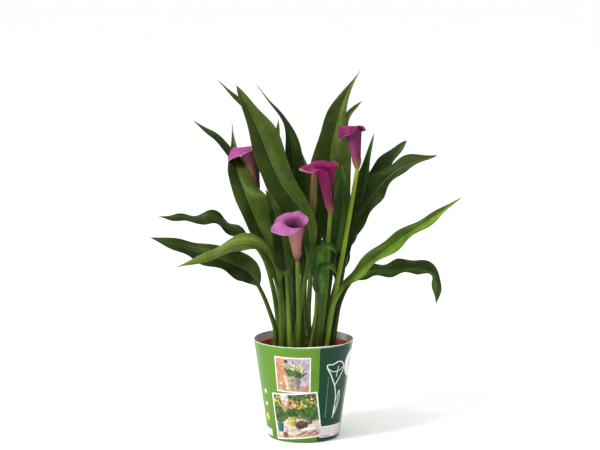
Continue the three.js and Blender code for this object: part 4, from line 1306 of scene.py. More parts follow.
class Finishes:
    """Every material of the plant and its pots, by name."""

    def __init__(self) -> None:
        """Builds the shared effects and then each finish."""
        self.effects = Effects()
        self.table = {name: self._plain(name, plain) for name, plain in PLAIN.items()}
        for name, maker in {"leaf": self._leaf, "stalk": self._stalk, "spathe": self._spathe,
                            "bud": self._bud,
                            "cover": self._cover, "tuber": self._tuber}.items():
            self.table[name] = maker()

    def _plain(self, name: str, plain: Plain) -> Material:
        """Makes a plain finish."""
        on = Finish(name, self.effects, plain.gloss)
        tone, value = on.mottled(plain.colour or on.painted, *plain.mottle)
        if plain.dust:
            tone, _ = on.dusty(tone, plain.dust)
        rough = on.board.ease(value, 0.3, 0.7, *plain.rough)
        scale, detail, strength, depth = plain.relief
        return on.close(tone, rough, on.board.noise(on.place, scale, detail), strength, depth)

    def _leaf(self) -> Material:
        """Waxy leaf: side veins swept towards the tip, lighter than the green between them, fine cross-grain,
        a glossier upper side and a thin film of dust."""
        on = Finish("leaf", self.effects, Gloss(level=0.22, shine=(0.82, 1.0, 0.5)))
        board = on.board
        across, swept, upper = on.grain()
        clear = board.ease(board.sum("ABSOLUTE", across), 0.6, 3.0)
        vein, fine = board.times(on.lines(swept, 3.1, 5.0), clear), board.times(on.lines(swept, 0.86, 1.6),
                                                                                clear)
        tone, value = on.mottled(on.painted, 70.0, 0.55)
        tone = on.shaded(tone, (1.42, 1.30, 1.15), board.times(vein, 0.5))
        tone = on.shaded(tone, (0.84, 0.86, 0.80), board.times(fine, 0.4))
        tone, film = on.dusty(tone, 0.03)
        rough = board.plus(board.ease(value, 0.3, 0.7, 0.25, 0.37), board.times(fine, 0.05))
        rough = board.plus(rough, board.times(board.less(1.0, upper), 0.14))
        height = board.plus(board.times(vein, -0.9), board.times(fine, -0.35))
        height = board.plus(height, board.times(board.noise(on.place, 240.0, 2.0), 1.2))
        return on.close(tone, board.plus(rough, board.times(film, 1.5)), height, 0.55, 0.00022)

    def _stalk(self) -> Material:
        """Smooth stalk: fine lines along it, short darker dashes, and a soft wax gloss."""
        gloss = Gloss(through=0.08, depth=0.0015, tint=(0.6, 1.0, 0.2), level=0.3, shine=(0.85, 1.0, 0.5))
        on = Finish("stalk", self.effects, gloss)
        stretched = on.board.add("Mapping", Vector=on.board.painted("grain"))
        stretched.inputs["Scale"].default_value = (1.6, 0.16, 1.0)
        dash = on.board.ease(on.board.noise(stretched.outputs[0], 1.0, 2.0), 0.56, 0.68)
        tone, value = on.mottled(on.painted, 90.0, 0.35)
        tone = on.shaded(tone, (0.66, 0.70, 0.60), on.board.times(dash, 0.6))
        return on.close(tone, on.board.ease(value, 0.3, 0.7, 0.34, 0.46), on.lines(on.grain()[0], 1.2, 1.5),
                        0.35, 0.00012)

    def _spathe(self) -> Material:
        """Petal-like sheet: veins that run up to the lip, tiny cells that catch the light, and light that
        seeps through where it is thin."""
        gloss = Gloss(through=0.12, depth=0.003, tint=(1.0, 0.2, 0.55), level=0.2, shine=(1.0, 0.7, 1.0))
        on = Finish("spathe", self.effects, gloss)
        around = on.grain()[0]
        vein, fine = on.lines(around, 2.3, 3.0), on.lines(around, 0.62, 1.4)
        tone, value = on.mottled(on.painted, 120.0, 0.28)
        tone = on.shaded(tone, (0.78, 0.60, 0.74), on.board.times(vein, 0.55))
        height = on.board.plus(on.board.times(vein, -1.0), on.board.times(fine, -0.4))
        height = on.board.plus(height, on.board.times(on.board.noise(on.place, 1400.0, 2.0), 0.5))
        return on.close(tone, on.board.ease(value, 0.3, 0.7, 0.40, 0.52), height, 0.5, 0.00018)

    def _bud(self) -> Material:
        """The rolled bud: veins along it over olive and rose."""
        on = Finish("bud", self.effects, Gloss(sheen=0.08, through=0.12, tint=(1.0, 0.5, 0.3)))
        vein = on.lines(on.grain()[0], 1.4, 2.0)
        tone, value = on.mottled(on.painted, 150.0, 0.35)
        tone = on.shaded(tone, (0.72, 0.62, 0.60), on.board.times(vein, 0.6))
        return on.close(tone, on.board.ease(value, 0.3, 0.7, 0.42, 0.55), on.board.times(vein, -1.0), 0.4,
                        0.00015)

    def _cover(self) -> Material:
        """Printed card with a thin varnish: light green all round, a dark green band on its front right with
        a thin pale line of painted highlight just to its right, a glued seam, pale worn edges at the rim and
        the foot, and plain white card inside."""
        on = Finish("cover", self.effects, Gloss(coat=0.05, coat_roughness=0.22, level=0.22))
        board = on.board
        ease = board.ease
        axes = board.add("SeparateXYZ", Vector=on.place).outputs
        up = board.times(axes[2], 1000.0)
        angle = board.times(board.sum("ARCTAN2", axes[0], board.times(axes[1], -1.0)), 180 / math.pi)
        left, right = board.plus(board.times(up, -0.0194), 21.3), board.plus(board.times(up, 0.0075), 70.5)
        inward = board.sum("MINIMUM", board.less(angle, left), board.less(right, angle))
        beside = board.sum("ABSOLUTE", board.plus(board.less(angle, right), -0.9))
        light, value = on.mottled((0.128, 0.270, 0.026), 38.0, 0.16)
        light = board.blend(ease(up, 0.0, 60.0, 0.45, 0.0), light, (0.080, 0.20, 0.018))
        dark, _ = on.mottled((0.003, 0.056, 0.025), 46.0, 0.22)
        tone = board.blend(ease(inward, -0.12, 0.12), light, dark)
        # painted highlight: a thin pale line just right of the dark band, where light glints on the curved
        # wall
        tone = board.blend(ease(beside, 0.35, 0.55, 0.85, 0.0), tone, (0.55, 0.66, 0.52))
        seam = ease(board.sum("ABSOLUTE", board.plus(angle, 128.0)), 0.12, 0.5, 1.0, 0.0)
        tone = board.blend(board.times(seam, 0.55), tone, (0.05, 0.11, 0.02))
        scuff = board.noise(on.place, 420.0, 3.0, 0.7)
        edge = board.sum("MAXIMUM", ease(up, 133.1, 133.7), ease(up, 0.2, 1.6, 0.75, 0.0))
        worn = board.times(board.plus(edge, ease(up, 130.8, 133.6, 0.0, 0.35)), ease(scuff, 0.34, 0.6))
        tone = board.blend(board.sum("MAXIMUM", ease(up, 133.3, 133.8), worn, clamp=True), tone,
                           (0.74, 0.74, 0.70))
        inside = on.grain()[2]
        tone = board.blend(ease(inside, 0.4, 0.6), tone, on.mottled((0.95, 0.93, 0.93), 260.0, 0.10)[0])
        rough = board.plus(ease(value, 0.3, 0.7, 0.28, 0.40),
                           board.plus(board.times(inside, 0.25), board.times(worn, 0.3)))
        height = board.less(board.times(scuff, 0.35), seam)
        return on.close(on.dusty(tone, 0.02)[0], rough, height, 0.4, 0.00014)

    def _tuber(self) -> Material:
        """Corky skin: brown with pale rings, scales and pits."""
        on = Finish("tuber", self.effects, Gloss())
        ring = on.board.add("TexWave", {"bands_direction": "Z"}, Vector=on.place, Scale=60.0,
                            Distortion=6.0).outputs["Fac"]
        base = on.board.blend(on.board.ease(ring, 0.3, 0.8), (0.10, 0.055, 0.028), (0.21, 0.13, 0.07))
        tone, value = on.mottled(base, 160.0, 0.6)
        height = on.board.plus(ring, on.board.noise(on.place, 700.0, 4.0))
        return on.close(tone, on.board.ease(value, 0.3, 0.7, 0.7, 0.9), height, 0.6, 0.0005)


# ---------------------------------------------------------------- pots and soil
@dataclass(frozen=True)
class PotCover:
    """The tapered cover: a thin printed wall, white inside, on a flat foot with a rounded edge."""

    rim_radius: float = 67.5
    foot_radius: float = 48.6
    height: float = 134.0
    wall: float = 1.1
    floor: float = 1.6
    foot_round: float = 4.0
    rim_round: float = 0.5
    sides: int = 288

    def radius(self, height: Array | float) -> Array:
        """The outer radius: a straight taper, and a quarter round below the foot's rounding."""
        z = np.asarray(height, float)
        taper = mix(self.foot_radius, self.rim_radius,
                    (z - self.foot_round) / (self.height - self.foot_round))
        drop = np.clip((self.foot_round - z) / self.foot_round, 0, 1)
        quarter = self.foot_radius - self.foot_round * (1 - np.sqrt(1 - drop**2))
        return np.where(z < self.foot_round, quarter, taper)

    def skin(self, angle: Array, height: Array, lift: Array | float = 0.0) -> Array:
        """Points on the wall.

        The radius swells and sinks by a third of a millimetre in slow waves round the pot, more towards the
        rim, as a thin wall does; the rim itself rises and falls by under a millimetre.

        Args:
            angle: Degrees from the front towards the right.
            height: Millimetres above the foot.
            lift: How far outside the wall.

        Returns:
            The points.
        """
        turn = np.radians(angle)
        up = np.clip(height / self.height, 0, 1)
        wave = up**2 * (0.32 * np.sin(3 * turn + 0.7) + 0.16 * np.sin(7 * turn + 2.0))
        radius = self.radius(height) + wave + lift
        rise = up**6 * (0.5 * np.sin(2 * turn + 1.0) + 0.25 * np.sin(5 * turn))
        return np.stack([radius * np.sin(turn), -radius * np.cos(turn), height + rise], axis=-1)

    def build(self, finish: Material) -> Piece:
        """Makes the cover: rings up the outside, over a rounded rim and down the inside."""
        angle = np.arange(self.sides) * 360.0 / self.sides
        heights = np.concatenate([self.foot_round * (1 - np.cos(np.linspace(0.0, 1.0, 7) * math.pi / 2)),
                                  np.linspace(self.foot_round, self.height - self.rim_round, 34)[1:]])
        outer = [self.skin(angle, np.full(self.sides, z)) for z in heights]
        over = [self.skin(angle, np.full(self.sides, self.height - self.rim_round * (1 - math.sin(k))),
                          -self.wall / 2 * (1 - math.cos(k))) for k in np.linspace(0.3, math.pi - 0.3, 7)]
        down = np.concatenate([np.linspace(self.height - 0.6, self.foot_round + 2, 26), [3.4, 2.3]])
        inner = [self.skin(angle, np.full(self.sides, z), -self.wall - (0.7 if z < 5 else 0.0)) for z in down]
        base = [outer[0] * [share, share, 0] + [0, 0, rise] for share,
                rise in ((0.5, 0.7), (0.88, 0.7), (0.93, 0.0))]
        bottom = [inner[-1] * [share, share, 0] + [0, 0, self.floor] for share in (0.9, 0.4)]
        rings = np.array([*base, *outer, *over, *inner, *bottom])
        grain = np.zeros_like(rings)
        grain[len(base) + len(outer) + 1:, :, 2] = 1.0  # inside
        return put("pot_cover_fine", [tube(rings, grain=grain)], finish, "pot_cover")


COVER = PotCover()


@dataclass(frozen=True)
class NurseryPot:
    """The terracotta-coloured inner pot, with a rounded hooked lip, steps in its wall and drain holes."""

    wall: float = 1.4
    foot: float = 1.9
    rim: float = 125.0
    lip_reach: float = 1.6
    lip_depth: float = 7.0
    gap: float = 4.2  # from the cover's outside to its own
    sides: int = 192
    holes: int = 6
    hole_radius: float = 4.0
    hole_ring: float = 26.0
    weld: float = 1e-5  # metres; the drills leave slivers shorter than this
    crease: float = 40.0  # degrees from which an edge stays sharp

    def radius(self, height: float) -> float:
        """The outer radius at a height: a fixed gap inside the cover's taper."""
        share = (height - COVER.foot_round) / (COVER.height - COVER.foot_round)
        return float(mix(COVER.foot_radius, COVER.rim_radius, share)) - self.gap

    def build(self, finish: Material) -> Piece:
        """Makes the pot as a surface of revolution, and drills its drain holes."""
        low, top, lip = self.foot, self.rim, self.rim - self.lip_depth
        inside = low + 1.6
        out = self.radius(lip) + self.lip_reach
        end = self.radius(top) + self.lip_reach
        profile = np.array([
            [0, low], [30, low], [self.radius(low) - 1.6, low], [self.radius(low) - 0.4, low + 0.5],
            [self.radius(inside), inside], [self.radius(30), 30], [self.radius(30) + 0.25, 30.5],
            [self.radius(90) + 0.25, 90], [self.radius(lip), lip], [out - 0.3, lip], [out, lip + 0.4],
            [end, top - 0.7], [end - 0.25, top - 0.2], [end - 0.7, top], [self.radius(top) - 0.9, top],
            [self.radius(top) - self.wall + 0.1, top - 0.2], [self.radius(top) - self.wall, top - 0.7],
            [self.radius(inside) - self.wall, inside + 1.0], [self.radius(inside) - self.wall - 1.0, inside],
            [20, inside], [0, inside],
        ])
        pot = put("nursery_pot_fine", [lathe(profile, self.sides)], finish, "nursery_pot")
        drills = []
        for turn in angles(self.holes):
            across = self.hole_radius
            drill = lathe(np.array([[0, -3], [across, -3], [across, 8], [0, 8]], float), 24)
            drill.points += [self.hole_ring * math.cos(turn), self.hole_ring * math.sin(turn), 0]
            drills.append(drill)
        cutter = put("drill", drills, finish)
        cut = pot.modifiers.new("holes", "BOOLEAN")
        cut.object = cutter
        cut.solver = "EXACT"
        bpy.context.view_layer.update()
        drilled = bpy.data.meshes.new_from_object(pot.evaluated_get(bpy.context.evaluated_depsgraph_get()))
        pot.modifiers.clear()
        pot.data = drilled
        bpy.data.objects.remove(cutter)
        work = bmesh.new()
        work.from_mesh(drilled)
        bmesh.ops.remove_doubles(work, verts=work.verts, dist=self.weld)
        work.to_mesh(drilled)
        work.free()
        drilled.set_sharp_from_angle(angle=math.radians(self.crease))
        return pot


@dataclass(frozen=True)
class Soil:
    """Damp peat with lumps, fibres of bark and a little perlite on its top."""

    top: float = SOIL_TOP
    foot: float = 4.2
    lumps: float = 2.6
    rings: int = 110
    sides: int = 300
    crumbs: int = 420
    edge: float = 58.6  # radius of the top
    spread: float = 57.0  # radius that the crumbs lie in
    perlite: float = 0.11  # share of the crumbs

    def build(self, finish: Material) -> Piece:
        """Makes the soil: a top whose height is three sizes of noise, a plain wall, and
        crumbs, each a ball of twelve corners pushed about at random, half sunk in the top."""
        turn = angles(self.sides)
        radius = self.edge * np.linspace(1.0, 0.01, self.rings)[:, None]
        flat = polar(radius, turn, 0.0)
        rings = flat + [0, 0, self.top]
        rings[..., 2] += self.relief(flat)
        wall = polar(1.0, turn, 0.0)
        low = wall * 43.0 + [0, 0, self.foot]
        body = np.concatenate([[low * [0.5, 0.5, 1], low, wall * (self.edge - 0.6) + [0, 0, self.top - 3]],
                               rings])
        shade = lattice_noise(body, 3.0, 5) * 0.6 + lattice_noise(body, 1.1, 6) * 0.4
        tone = colours(shade, ((0.0, (0.008, 0.005, 0.003)), (0.5, (0.022, 0.014, 0.008)),
                               (1.0, (0.06, 0.038, 0.022))))
        surfaces = [tube(body, tone, np.zeros_like(body)), self.scatter()]
        return put("soil_fine", surfaces, finish, "soil")

    def relief(self, flat: Array) -> Array:
        """How far the top stands above its level: noise of 9, 3.5 and 1.3 mm cells."""
        tall = lattice_noise(flat, 9.0, 1) - 0.5
        middle = lattice_noise(flat, 3.5, 2) - 0.5
        fine = lattice_noise(flat, 1.3, 3) - 0.5
        return self.lumps * (0.8 * tall + 0.45 * middle + 0.25 * fine)

    def scatter(self) -> Surface:
        """Crumbs as one surface: the same twelve-cornered ball, stretched, turned and placed by a seeded
        draw, most of them bark and one in nine perlite."""
        rng = np.random.default_rng(11)
        gold = (1 + math.sqrt(5)) / 2
        ball = unit(np.array([(-1, gold, 0), (1, gold, 0), (-1, -gold, 0), (1, -gold, 0), (0, -1, gold),
                              (0, 1, gold),
                              (0, -1, -gold), (0, 1, -gold), (gold, 0, -1), (gold, 0, 1), (-gold, 0, -1),
                              (-gold, 0, 1)]))
        faces = np.array([(0, 11, 5), (0, 5, 1), (0, 1, 7), (0, 7, 10), (0, 10, 11), (1, 5, 9), (5, 11, 4),
                          (11, 10, 2),
                          (10, 7, 6), (7, 1, 8), (3, 9, 4), (3, 4, 2), (3, 2, 6), (3, 6, 8), (3, 8, 9),
                          (4, 9, 5),
                          (2, 4, 11), (6, 2, 10), (8, 6, 7), (9, 8, 1)])
        out = self.spread * np.sqrt(rng.uniform(0, 1, self.crumbs))
        turn = rng.uniform(0, 2 * math.pi, self.crumbs)
        place = polar(out, turn, 0.0)
        place[:, 2] = self.top + self.relief(place)
        white = rng.uniform(0, 1, self.crumbs) < self.perlite
        size = np.where(white, rng.uniform(0.8, 1.5, self.crumbs), rng.uniform(0.7, 2.4, self.crumbs))
        stretch = rng.uniform(0.5, 1.5, (self.crumbs, 1, 3)) * rng.uniform(0.8, 1.2, (self.crumbs, 12, 1))
        heading = rng.uniform(0, 2 * math.pi, self.crumbs)
        cosine, sine = np.cos(heading)[:, None], np.sin(heading)[:, None]
        own = ball[None] * stretch * size[:, None, None]
        own = np.stack([own[..., 0] * cosine - own[..., 1] * sine, own[..., 0] * sine + own[..., 1] * cosine,
                        0.6 * own[..., 2]], axis=-1)
        points = (own + place[:, None]).reshape(-1, 3)
        bark = np.array((0.05, 0.028, 0.015)) * rng.uniform(0.3, 1.4, (self.crumbs, 1))
        tone = np.where(white[:, None], np.array((0.52, 0.50, 0.45)), bark)
        triangles = (faces[None] + 12 * np.arange(self.crumbs)[:, None, None]).reshape(-1, 3)
        shades = np.repeat(tone, 12, axis=0)
        return Surface(points, np.zeros((0, 4), int), triangles, shades, np.zeros_like(shades))


# ---------------------------------------------------------------- what is printed on the cover
class Picture:
    """A small painting on a grid, built up from washes, discs and strokes; u runs right and v up, 0 to 1."""

    def __init__(self, rows: int, columns: int, ground: Colour) -> None:
        """Starts a painting on a plain ground, of so many rows of so many points."""
        self.v, self.u = np.meshgrid(np.linspace(0, 1, rows), np.linspace(0, 1, columns), indexing="ij")
        self.paint = np.ones((rows, columns, 3)) * ground

    def lay(self, cover: Array, colour: Colour | Array) -> None:
        """Lays a colour over the painting as thickly as cover says, from 0 to 1."""
        self.paint = mix(self.paint, np.asarray(colour, float), np.clip(cover, 0, 1)[..., None])

    def disc(self, at: Pair, size: Pair, colour: Colour, soft: float = 0.15) -> None:
        """An ellipse: full where the distance over its half-sizes is under 1, gone by 1 plus soft."""
        far = np.hypot((self.u - at[0]) / size[0], (self.v - at[1]) / size[1])
        self.lay(1 - smooth((far - 1) / soft), colour)

    def pot(self, at: Pair, size: Pair, colour: Colour) -> None:
        """A tapered pot with its foot's middle at a place, lit from the left."""
        up = (self.v - at[1]) / size[1]
        half = size[0] * mix(0.62, 1.0, np.clip(up, 0, 1))
        across = (self.u - at[0]) / half
        inside = smooth((1 - np.abs(across)) / 0.08) * smooth(up / 0.06) * smooth((1 - up) / 0.06)
        self.lay(inside, np.array(colour) * (0.85 - 0.45 * across)[..., None])

    def stroke(self, start: Pair, end: Pair, width: float, colour: Colour) -> None:
        """A leaf-shaped stroke: its half-width is the width times the root of 4 s (1 - s) along it."""
        line = np.array(end) - np.array(start)
        long = float(np.hypot(*line))
        s = ((self.u - start[0]) * line[0] + (self.v - start[1]) * line[1]) / long**2
        off = np.abs((self.u - start[0]) * line[1] - (self.v - start[1]) * line[0]) / long
        half = width * np.sqrt(np.clip(4 * s * (1 - s), 0, 1))
        self.lay(smooth((half - off) / 0.008 + 0.5) * (s > 0) * (s < 1), colour)

    def bush(self, at: Pair, size: float, count: int, blooms: Colour, seed: int) -> None:
        """A potted plant: leaves fanned out from a foot, and flowers among them, by a seeded draw."""
        rng = np.random.default_rng(seed)
        for _ in range(count):
            lean, long = rng.uniform(-1.0, 1.0), size * rng.uniform(0.55, 1.0)
            end = (at[0] + long * math.sin(lean), at[1] + long * math.cos(lean))
            self.stroke(at, end, 0.013, tuple(np.array((0.05, 0.12, 0.02)) * rng.uniform(0.3, 2.0)))
        for _ in range(count):
            lean, long = rng.uniform(-0.8, 0.8), size * rng.uniform(0.6, 1.05)
            spot = (at[0] + long * math.sin(lean), at[1] + long * math.cos(lean))
            self.disc(spot, (0.016, 0.024), tuple(np.array(blooms) * rng.uniform(0.6, 1.1)), 0.3)

    def framed(self, border: float) -> Array:
        """The painting inside a white border."""
        near = np.minimum(np.minimum(self.u, 1 - self.u), np.minimum(self.v, 1 - self.v))
        spots = np.stack([self.u * 60, self.v * 60, 0 * self.u], axis=-1)
        clutter = 0.6 * lattice_noise(spots, 1.1, 51) + 0.4 * lattice_noise(spots, 4.0, 52)
        self.paint = self.paint * mix(0.62, 1.12, smooth(clutter * 2.4 - 0.7))[..., None]
        self.lay(smooth((border - near) / 0.008 + 0.5), (0.84, 0.83, 0.80))
        return self.paint


def terrace() -> Array:
    """A beige pot of pale yellow flowers against a lilac wall, with a warm brick corner."""
    view = Picture(150, 150, (0.50, 0.44, 0.50))
    view.lay(smooth((0.36 - view.u + 0.1 * view.v) / 0.2), (0.62, 0.30, 0.16))
    view.lay(smooth((0.24 - view.v) / 0.08), (0.52, 0.33, 0.22))
    view.lay(0.5 * smooth(np.sin(46 * view.v) - 0.86), (0.30, 0.20, 0.16))
    view.disc((0.33, 0.88), (0.05, 0.045), (0.06, 0.06, 0.08))
    view.stroke((0.48, 0.96), (0.56, 0.80), 0.008, (0.08, 0.08, 0.07))
    view.stroke((0.72, 0.93), (0.64, 0.78), 0.008, (0.08, 0.08, 0.07))
    view.bush((0.66, 0.40), 0.36, 22, (0.72, 0.66, 0.18), 21)
    view.pot((0.62, 0.10), (0.11, 0.34), (0.36, 0.33, 0.33))
    view.bush((0.42, 0.44), 0.40, 30, (0.80, 0.76, 0.42), 22)
    view.pot((0.40, 0.07), (0.15, 0.40), (0.66, 0.52, 0.36))
    view.disc((0.14, 0.24), (0.05, 0.03), (0.75, 0.60, 0.45))
    view.disc((0.86, 0.22), (0.07, 0.03), (0.78, 0.50, 0.32))
    return view.framed(0.035)


def garden_table() -> Array:
    """Potted flowers on a pale cloth in front of a green hedge."""
    view = Picture(180, 165, (0.05, 0.10, 0.03))
    spots = np.stack([view.u * 40, view.v * 40, 0 * view.u], axis=-1)
    view.lay(smooth(lattice_noise(spots, 2.0, 31) * 2 - 0.9), (0.16, 0.26, 0.06))
    view.lay(smooth(lattice_noise(spots, 1.0, 32) * 3 - 2.0), (0.45, 0.50, 0.25))
    view.disc((0.30, 0.86), (0.07, 0.22), (0.62, 0.60, 0.58), 0.5)
    view.lay(smooth((0.46 - view.v + 0.05 * np.sin(5 * view.u)) / 0.07), (0.68, 0.60, 0.50))
    view.lay(0.6 * smooth((0.12 - view.v) / 0.05), (0.45, 0.26, 0.18))
    view.bush((0.13, 0.34), 0.56, 34, (0.78, 0.74, 0.12), 41)
    view.pot((0.13, 0.16), (0.09, 0.20), (0.03, 0.17, 0.22))
    view.bush((0.46, 0.44), 0.40, 26, (0.80, 0.32, 0.20), 42)
    view.bush((0.77, 0.42), 0.46, 34, (0.72, 0.62, 0.10), 43)
    view.pot((0.42, 0.26), (0.10, 0.24), (0.66, 0.54, 0.16))
    view.pot((0.76, 0.30), (0.09, 0.16), (0.20, 0.22, 0.16))
    view.disc((0.60, 0.30), (0.12, 0.09), (0.10, 0.05, 0.05))
    view.disc((0.59, 0.34), (0.09, 0.035), (0.26, 0.09, 0.08))
    for k in range(7):
        view.disc((0.55 + 0.06 * k, 0.10 + 0.02 * (k % 3)), (0.030, 0.016), (0.48, 0.10, 0.07), 0.5)
        view.disc((0.62 + 0.05 * k, 0.20 + 0.015 * (k % 2)), (0.034, 0.02), (0.84, 0.80, 0.76), 0.5)
    view.disc((0.23, 0.09), (0.05, 0.06), (0.30, 0.12, 0.08), 0.4)
    return view.framed(0.032)


def care_label() -> Array:
    """A pale label with rows of grey bars and two plain blocks, without any lettering."""
    view = Picture(48, 150, (0.74, 0.68, 0.70))
    for row, shade in ((0.80, 0.36), (0.64, 0.44), (0.48, 0.36), (0.32, 0.5)):
        bars = smooth((0.035 - np.abs(view.v - row)) / 0.02) * (np.sin(view.u * 90 + row * 50) > -0.75)
        view.lay(bars * (np.abs(view.u - 0.5) < 0.46) * (np.abs(view.u - 0.46) > 0.03),
                 (shade, shade * 0.85, shade * 0.88))
    view.lay(smooth((0.05 - np.abs(view.v - 0.13)) / 0.03) * (view.u > 0.08) * (view.u < 0.4),
             (0.10, 0.09, 0.12))
    view.lay(smooth((0.05 - np.abs(view.v - 0.13)) / 0.03) * (view.u > 0.6) * (view.u < 0.92),
             (0.25, 0.22, 0.30))
    return view.paint


@dataclass(frozen=True)
class Print:
    """Everything printed or stuck on the cover, as thin pieces that follow its wall."""

    lift: float = 0.16

    def patch(self, angle: Array, height: Array, tone: Array) -> Surface:
        """A thin shell over a grid of places on the wall, with its own colours."""
        outer = COVER.skin(angle, height, self.lift)
        inner = COVER.skin(angle, height, -0.15)
        none = np.zeros_like(outer)
        return sheet(outer, inner, (tone, tone), (none, none))

    def card(self, corners: Sequence[Pair], paint: Array) -> Surface:
        """A picture between four corners.

        A point's angle and height are mixed along the foot and the head, and then between the two.

        Args:
            corners: Angles and heights of the lower left, lower right, upper right and upper left corners.
            paint: The picture's colours, its lowest row first.

        Returns:
            The shell.
        """
        rows, columns = paint.shape[:2]
        v, u = np.meshgrid(np.linspace(0, 1, rows), np.linspace(0, 1, columns), indexing="ij")
        low_left, low_right, high_right, high_left = (np.array(c, float) for c in corners)
        foot = mix(low_left, low_right, u[..., None])
        head = mix(high_left, high_right, u[..., None])
        place = mix(foot, head, v[..., None])
        return self.patch(place[..., 0], place[..., 1], paint)

    def badge(
        self, at: Pair, shape: Callable[[Array], Array], tone: Callable[[Array, Array], Array],
        rows: int = 24, sides: int = 96,
    ) -> Surface:
        """A round or star-shaped mark.

        Points run from the outline in to the middle; a step of so many millimetres across is an angle of that
        over the cover's radius there.

        Args:
            at: The middle's angle and height.
            shape: The outline's distance from the middle, by the angle round it.
            tone: The colours, by the share of the way out and the angle round it.
            rows: Rings of points.
            sides: Points in a ring.

        Returns:
            A closed shell.
        """
        turn = angles(sides)[None, :]
        share = np.concatenate([[1.0], np.linspace(1.0, 0.02, rows)])[:, None]
        out = shape(turn) * share
        lift = np.where(np.arange(rows + 1) == 0, -0.15, self.lift + 0.03)[:, None]
        angle = at[0] + np.degrees(out * np.cos(turn) / COVER.radius(at[1]))
        height = at[1] + out * np.sin(turn)
        rings = COVER.skin(angle, height, lift)
        return tube(rings, tone(share + 0 * turn, turn + 0 * share), np.zeros_like(rings))

    def line(self, at: Pair, points: Sequence[Pair], width: float) -> Surface:
        """A white line of one width through points, in millimetres right and up from a place on the wall."""
        spine = Spine(np.array([(x, y, 0.0) for x, y in points]))
        t = np.linspace(0, 1, 60)
        along = spine.along(t)
        aside = np.stack([-along[:, 1], along[:, 0]], axis=-1)
        half = np.linspace(-0.5, 0.5, 4)
        place = spine.at(t)[:, None, :2] - aside[:, None] * (half[:, None] * width)
        angle = at[0] + np.degrees(place[..., 0] / COVER.radius(at[1]))
        white = np.ones((*place.shape[:2], 3)) * 0.82
        return self.patch(angle, at[1] + place[..., 1], white)

    def drawing(self) -> list[Surface]:
        """A line drawing of a calla: a stem, the spathe's outline, its lip, the spadix and a leaf."""
        at = (45.0, 32.0)
        strokes = (
            ((1, 0), (3, 18), (2, 34), (-1, 46)),
            ((-1, 46), (-5, 54), (-9, 63), (-13, 70), (-14, 76), (-7, 76), (2, 79), (10, 75), (12, 68),
             (7, 58), (-1, 46)),
            ((-13, 71), (-6, 66), (2, 66), (11, 70)),
            ((0, 58), (1, 66), (2, 73)),
            ((1, 2), (8, 14), (11, 27), (9, 38), (4, 26), (1, 8)),
            ((1, 2), (6, 16), (9, 36)),
        )
        return [self.line(at, stroke, 1.5 if k < 2 else 1.0) for k, stroke in enumerate(strokes)]

    def build(self, finish: Material, label: Material) -> None:
        """Makes the cards, the round sticker, the label, the drawing and the small marks.

        Args:
            finish: The print's material.
            label: The material of what is stuck on.
        """
        for name, corners, paint, wears in (
            ("picture_upper", ((-37.1, 71.4), (8.8, 70.6), (8.4, 119.8), (-36.9, 120.2)), terrace, finish),
            ("picture_lower", ((-45.5, 3.0), (29.0, 9.0), (17.7, 72.4), (-47.2, 67.6)), garden_table, finish),
            ("label", ((25.0, 6.6), (74.5, 5.4), (74.0, 21.4), (25.0, 22.6)), care_label, label),
        ):
            put("print_" + name, [self.card(corners, paint())], wears)

        def plain(colour: Colour) -> Callable[[Array, Array], Array]:
            """A painter of one colour."""
            return lambda share, turn: np.ones((*share.shape, 3)) * colour

        def round_sticker(share: Array, turn: Array) -> Array:
            """White with a fine pink ring, and a pink flower of six petals in its middle."""
            ring = bump(share - 0.86, 0.02)
            petals = smooth((0.42 + 0.16 * np.cos(6 * turn) - share) / 0.04) * smooth((share - 0.1) / 0.03)
            paint = np.ones((*share.shape, 3)) * 0.84
            paint = mix(paint, np.array((0.62, 0.20, 0.34)), 0.75 * ring[..., None])
            return mix(paint, np.array((0.66, 0.30, 0.46)), 0.6 * petals[..., None])

        put("print_sticker", [self.badge((77.0, 104.0), lambda turn: 18.6 + 0 * turn, round_sticker, 60,
                                         160)], label)
        white, yellow = plain((0.80, 0.82, 0.78)), plain((0.80, 0.62, 0.04))
        marks = [
            self.badge((-62.0, 67.0), lambda turn: 2.6 + 0.9 * np.cos(8 * turn), white),
            self.badge((-63.0, 49.0), lambda turn: 2.6 * (1 + 0.45 * np.cos(turn - math.pi / 2) ** 5), white),
            self.badge((-66.0, 31.0), lambda turn: 4.6 + 1.3 * np.cos(6 * turn), yellow),
            self.badge((-66.0, 31.01), lambda turn: 1.7 + 0 * turn, plain((0.45, 0.22, 0.02)), 8, 32),
        ]
        pale = Picture(20, 60, (0.72, 0.74, 0.72))
        marks.append(self.card(((-86, 4.5), (-58, 4.5), (-58, 14.5), (-86, 14.5)), pale.paint))
        dots = [self.badge((32.5, z), lambda turn: 0.62 + 0 * turn, plain((0.50, 0.62, 0.52)), 3, 10)
                for z in np.arange(36.0, 92.0, 3.4)]
        put("print_marks", [*marks, *dots, *self.drawing()], finish)


# ---------------------------------------------------------------- studio
@dataclass(frozen=True)
class Lamp:
    """A soft square light: where it hangs, its side and its power."""

    name: str
    at: Triple
    side: float
    power: float


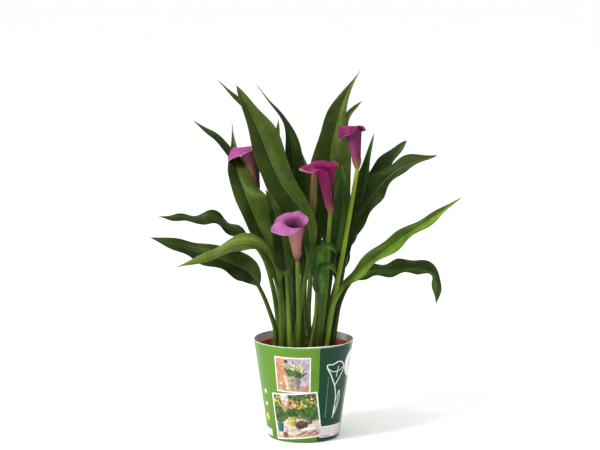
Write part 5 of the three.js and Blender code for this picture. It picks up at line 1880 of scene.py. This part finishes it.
@dataclass(frozen=True)
class Studio:
    """The camera, a pale floor, a white room and soft lights."""

    eye: Triple = (-0.005, -2.55, 0.649)
    aim: Triple = (-0.005, 0.0, 0.288)
    lens: float = 115.25
    overhead: float = 1.28
    horizon: float = 0.16
    contrast: float = 0.9
    sensor: float = 36.0
    floor_half: float = 60.0
    lamp_aim: Triple = (0.0, 0.0, 0.25)
    lamps: tuple[Lamp, ...] = (
        Lamp("key", (-1.35, -1.0, 1.75), 0.55, 38.0),
        Lamp("fill", (1.9, -1.3, 1.0), 1.2, 3.0),
    )

    @staticmethod
    def look(thing: Piece, aim: Triple) -> None:
        """Turns a camera or a light towards a point."""
        way = Vector(aim) - thing.location
        thing.rotation_euler = way.to_track_quat("-Z", "Y").to_euler()

    def camera(self) -> None:
        """Sets the camera up."""
        data = bpy.data.cameras.new("camera")
        data.lens = self.lens
        data.sensor_width = self.sensor
        data.clip_end = 200.0
        camera = bpy.data.objects.new("camera", data)
        bpy.context.scene.collection.objects.link(camera)
        camera.location = self.eye
        self.look(camera, self.aim)
        bpy.context.scene.camera = camera

    def build(self, floor: Material) -> None:
        """Sets up the floor, the room's light and the lamps.

        Args:
            floor: What the floor wears.
        """
        self.camera()
        side = self.floor_half
        mesh = bpy.data.meshes.new("floor")
        mesh.from_pydata([(-side, -side, 0), (side, -side, 0), (side, side, 0), (-side, side, 0)], [],
                         [(0, 1, 2, 3)])
        mesh.materials.append(floor)
        ground = bpy.data.objects.new("floor", mesh)
        bpy.context.scene.collection.objects.link(ground)
        world = bpy.data.worlds.new("room")
        world.use_nodes = True
        board = Board(world.node_tree)
        way = board.add("SeparateXYZ", Vector=board.add("TexCoord").outputs["Generated"])
        sky = world.node_tree.nodes["Background"]
        sky.inputs["Color"].default_value = (1.0, 1.0, 1.0, 1.0)
        board.feed(sky.inputs["Strength"], board.ease(way.outputs[2], 0.05, 0.75, self.horizon,
                                                      self.overhead))
        bpy.context.scene.world = world
        for lamp in self.lamps:
            data = bpy.data.lights.new(lamp.name, "AREA")
            data.energy = lamp.power
            data.size = lamp.side
            thing = bpy.data.objects.new(lamp.name, data)
            bpy.context.scene.collection.objects.link(thing)
            thing.location = lamp.at
            self.look(thing, self.lamp_aim)
        view = bpy.context.scene.view_settings
        view.view_transform = "Standard"
        view.look = "None"
        view.gamma = self.contrast


# ---------------------------------------------------------------- the whole object
def dress_tubers(material: Material) -> None:
    """Gives the frame's own tubers their skin."""
    for side in ("left", "right", "back"):
        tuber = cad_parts[f"tuber_{side}"]
        for slot in tuber.material_slots:
            slot.material = material
        log.info("tuber_%s: skin", side)


def main() -> None:
    """Builds the studio, the pots, the print, the leaves and the flowers."""
    logging.basicConfig(level=logging.INFO, format="%(name)s %(message)s")
    finishes = Finishes().table
    Studio().build(finishes["floor"])
    COVER.build(finishes["cover"])
    NurseryPot().build(finishes["nursery"])
    Soil().build(finishes["soil"])
    Print().build(finishes["print"], finishes["sticker"])
    dress_tubers(finishes["tuber"])
    foliage = Foliage()
    for leaf in LEAVES:
        foliage.build(leaf, finishes["leaf"])
    Bouquet().build(finishes)


if __name__ == "__main__":
    main()
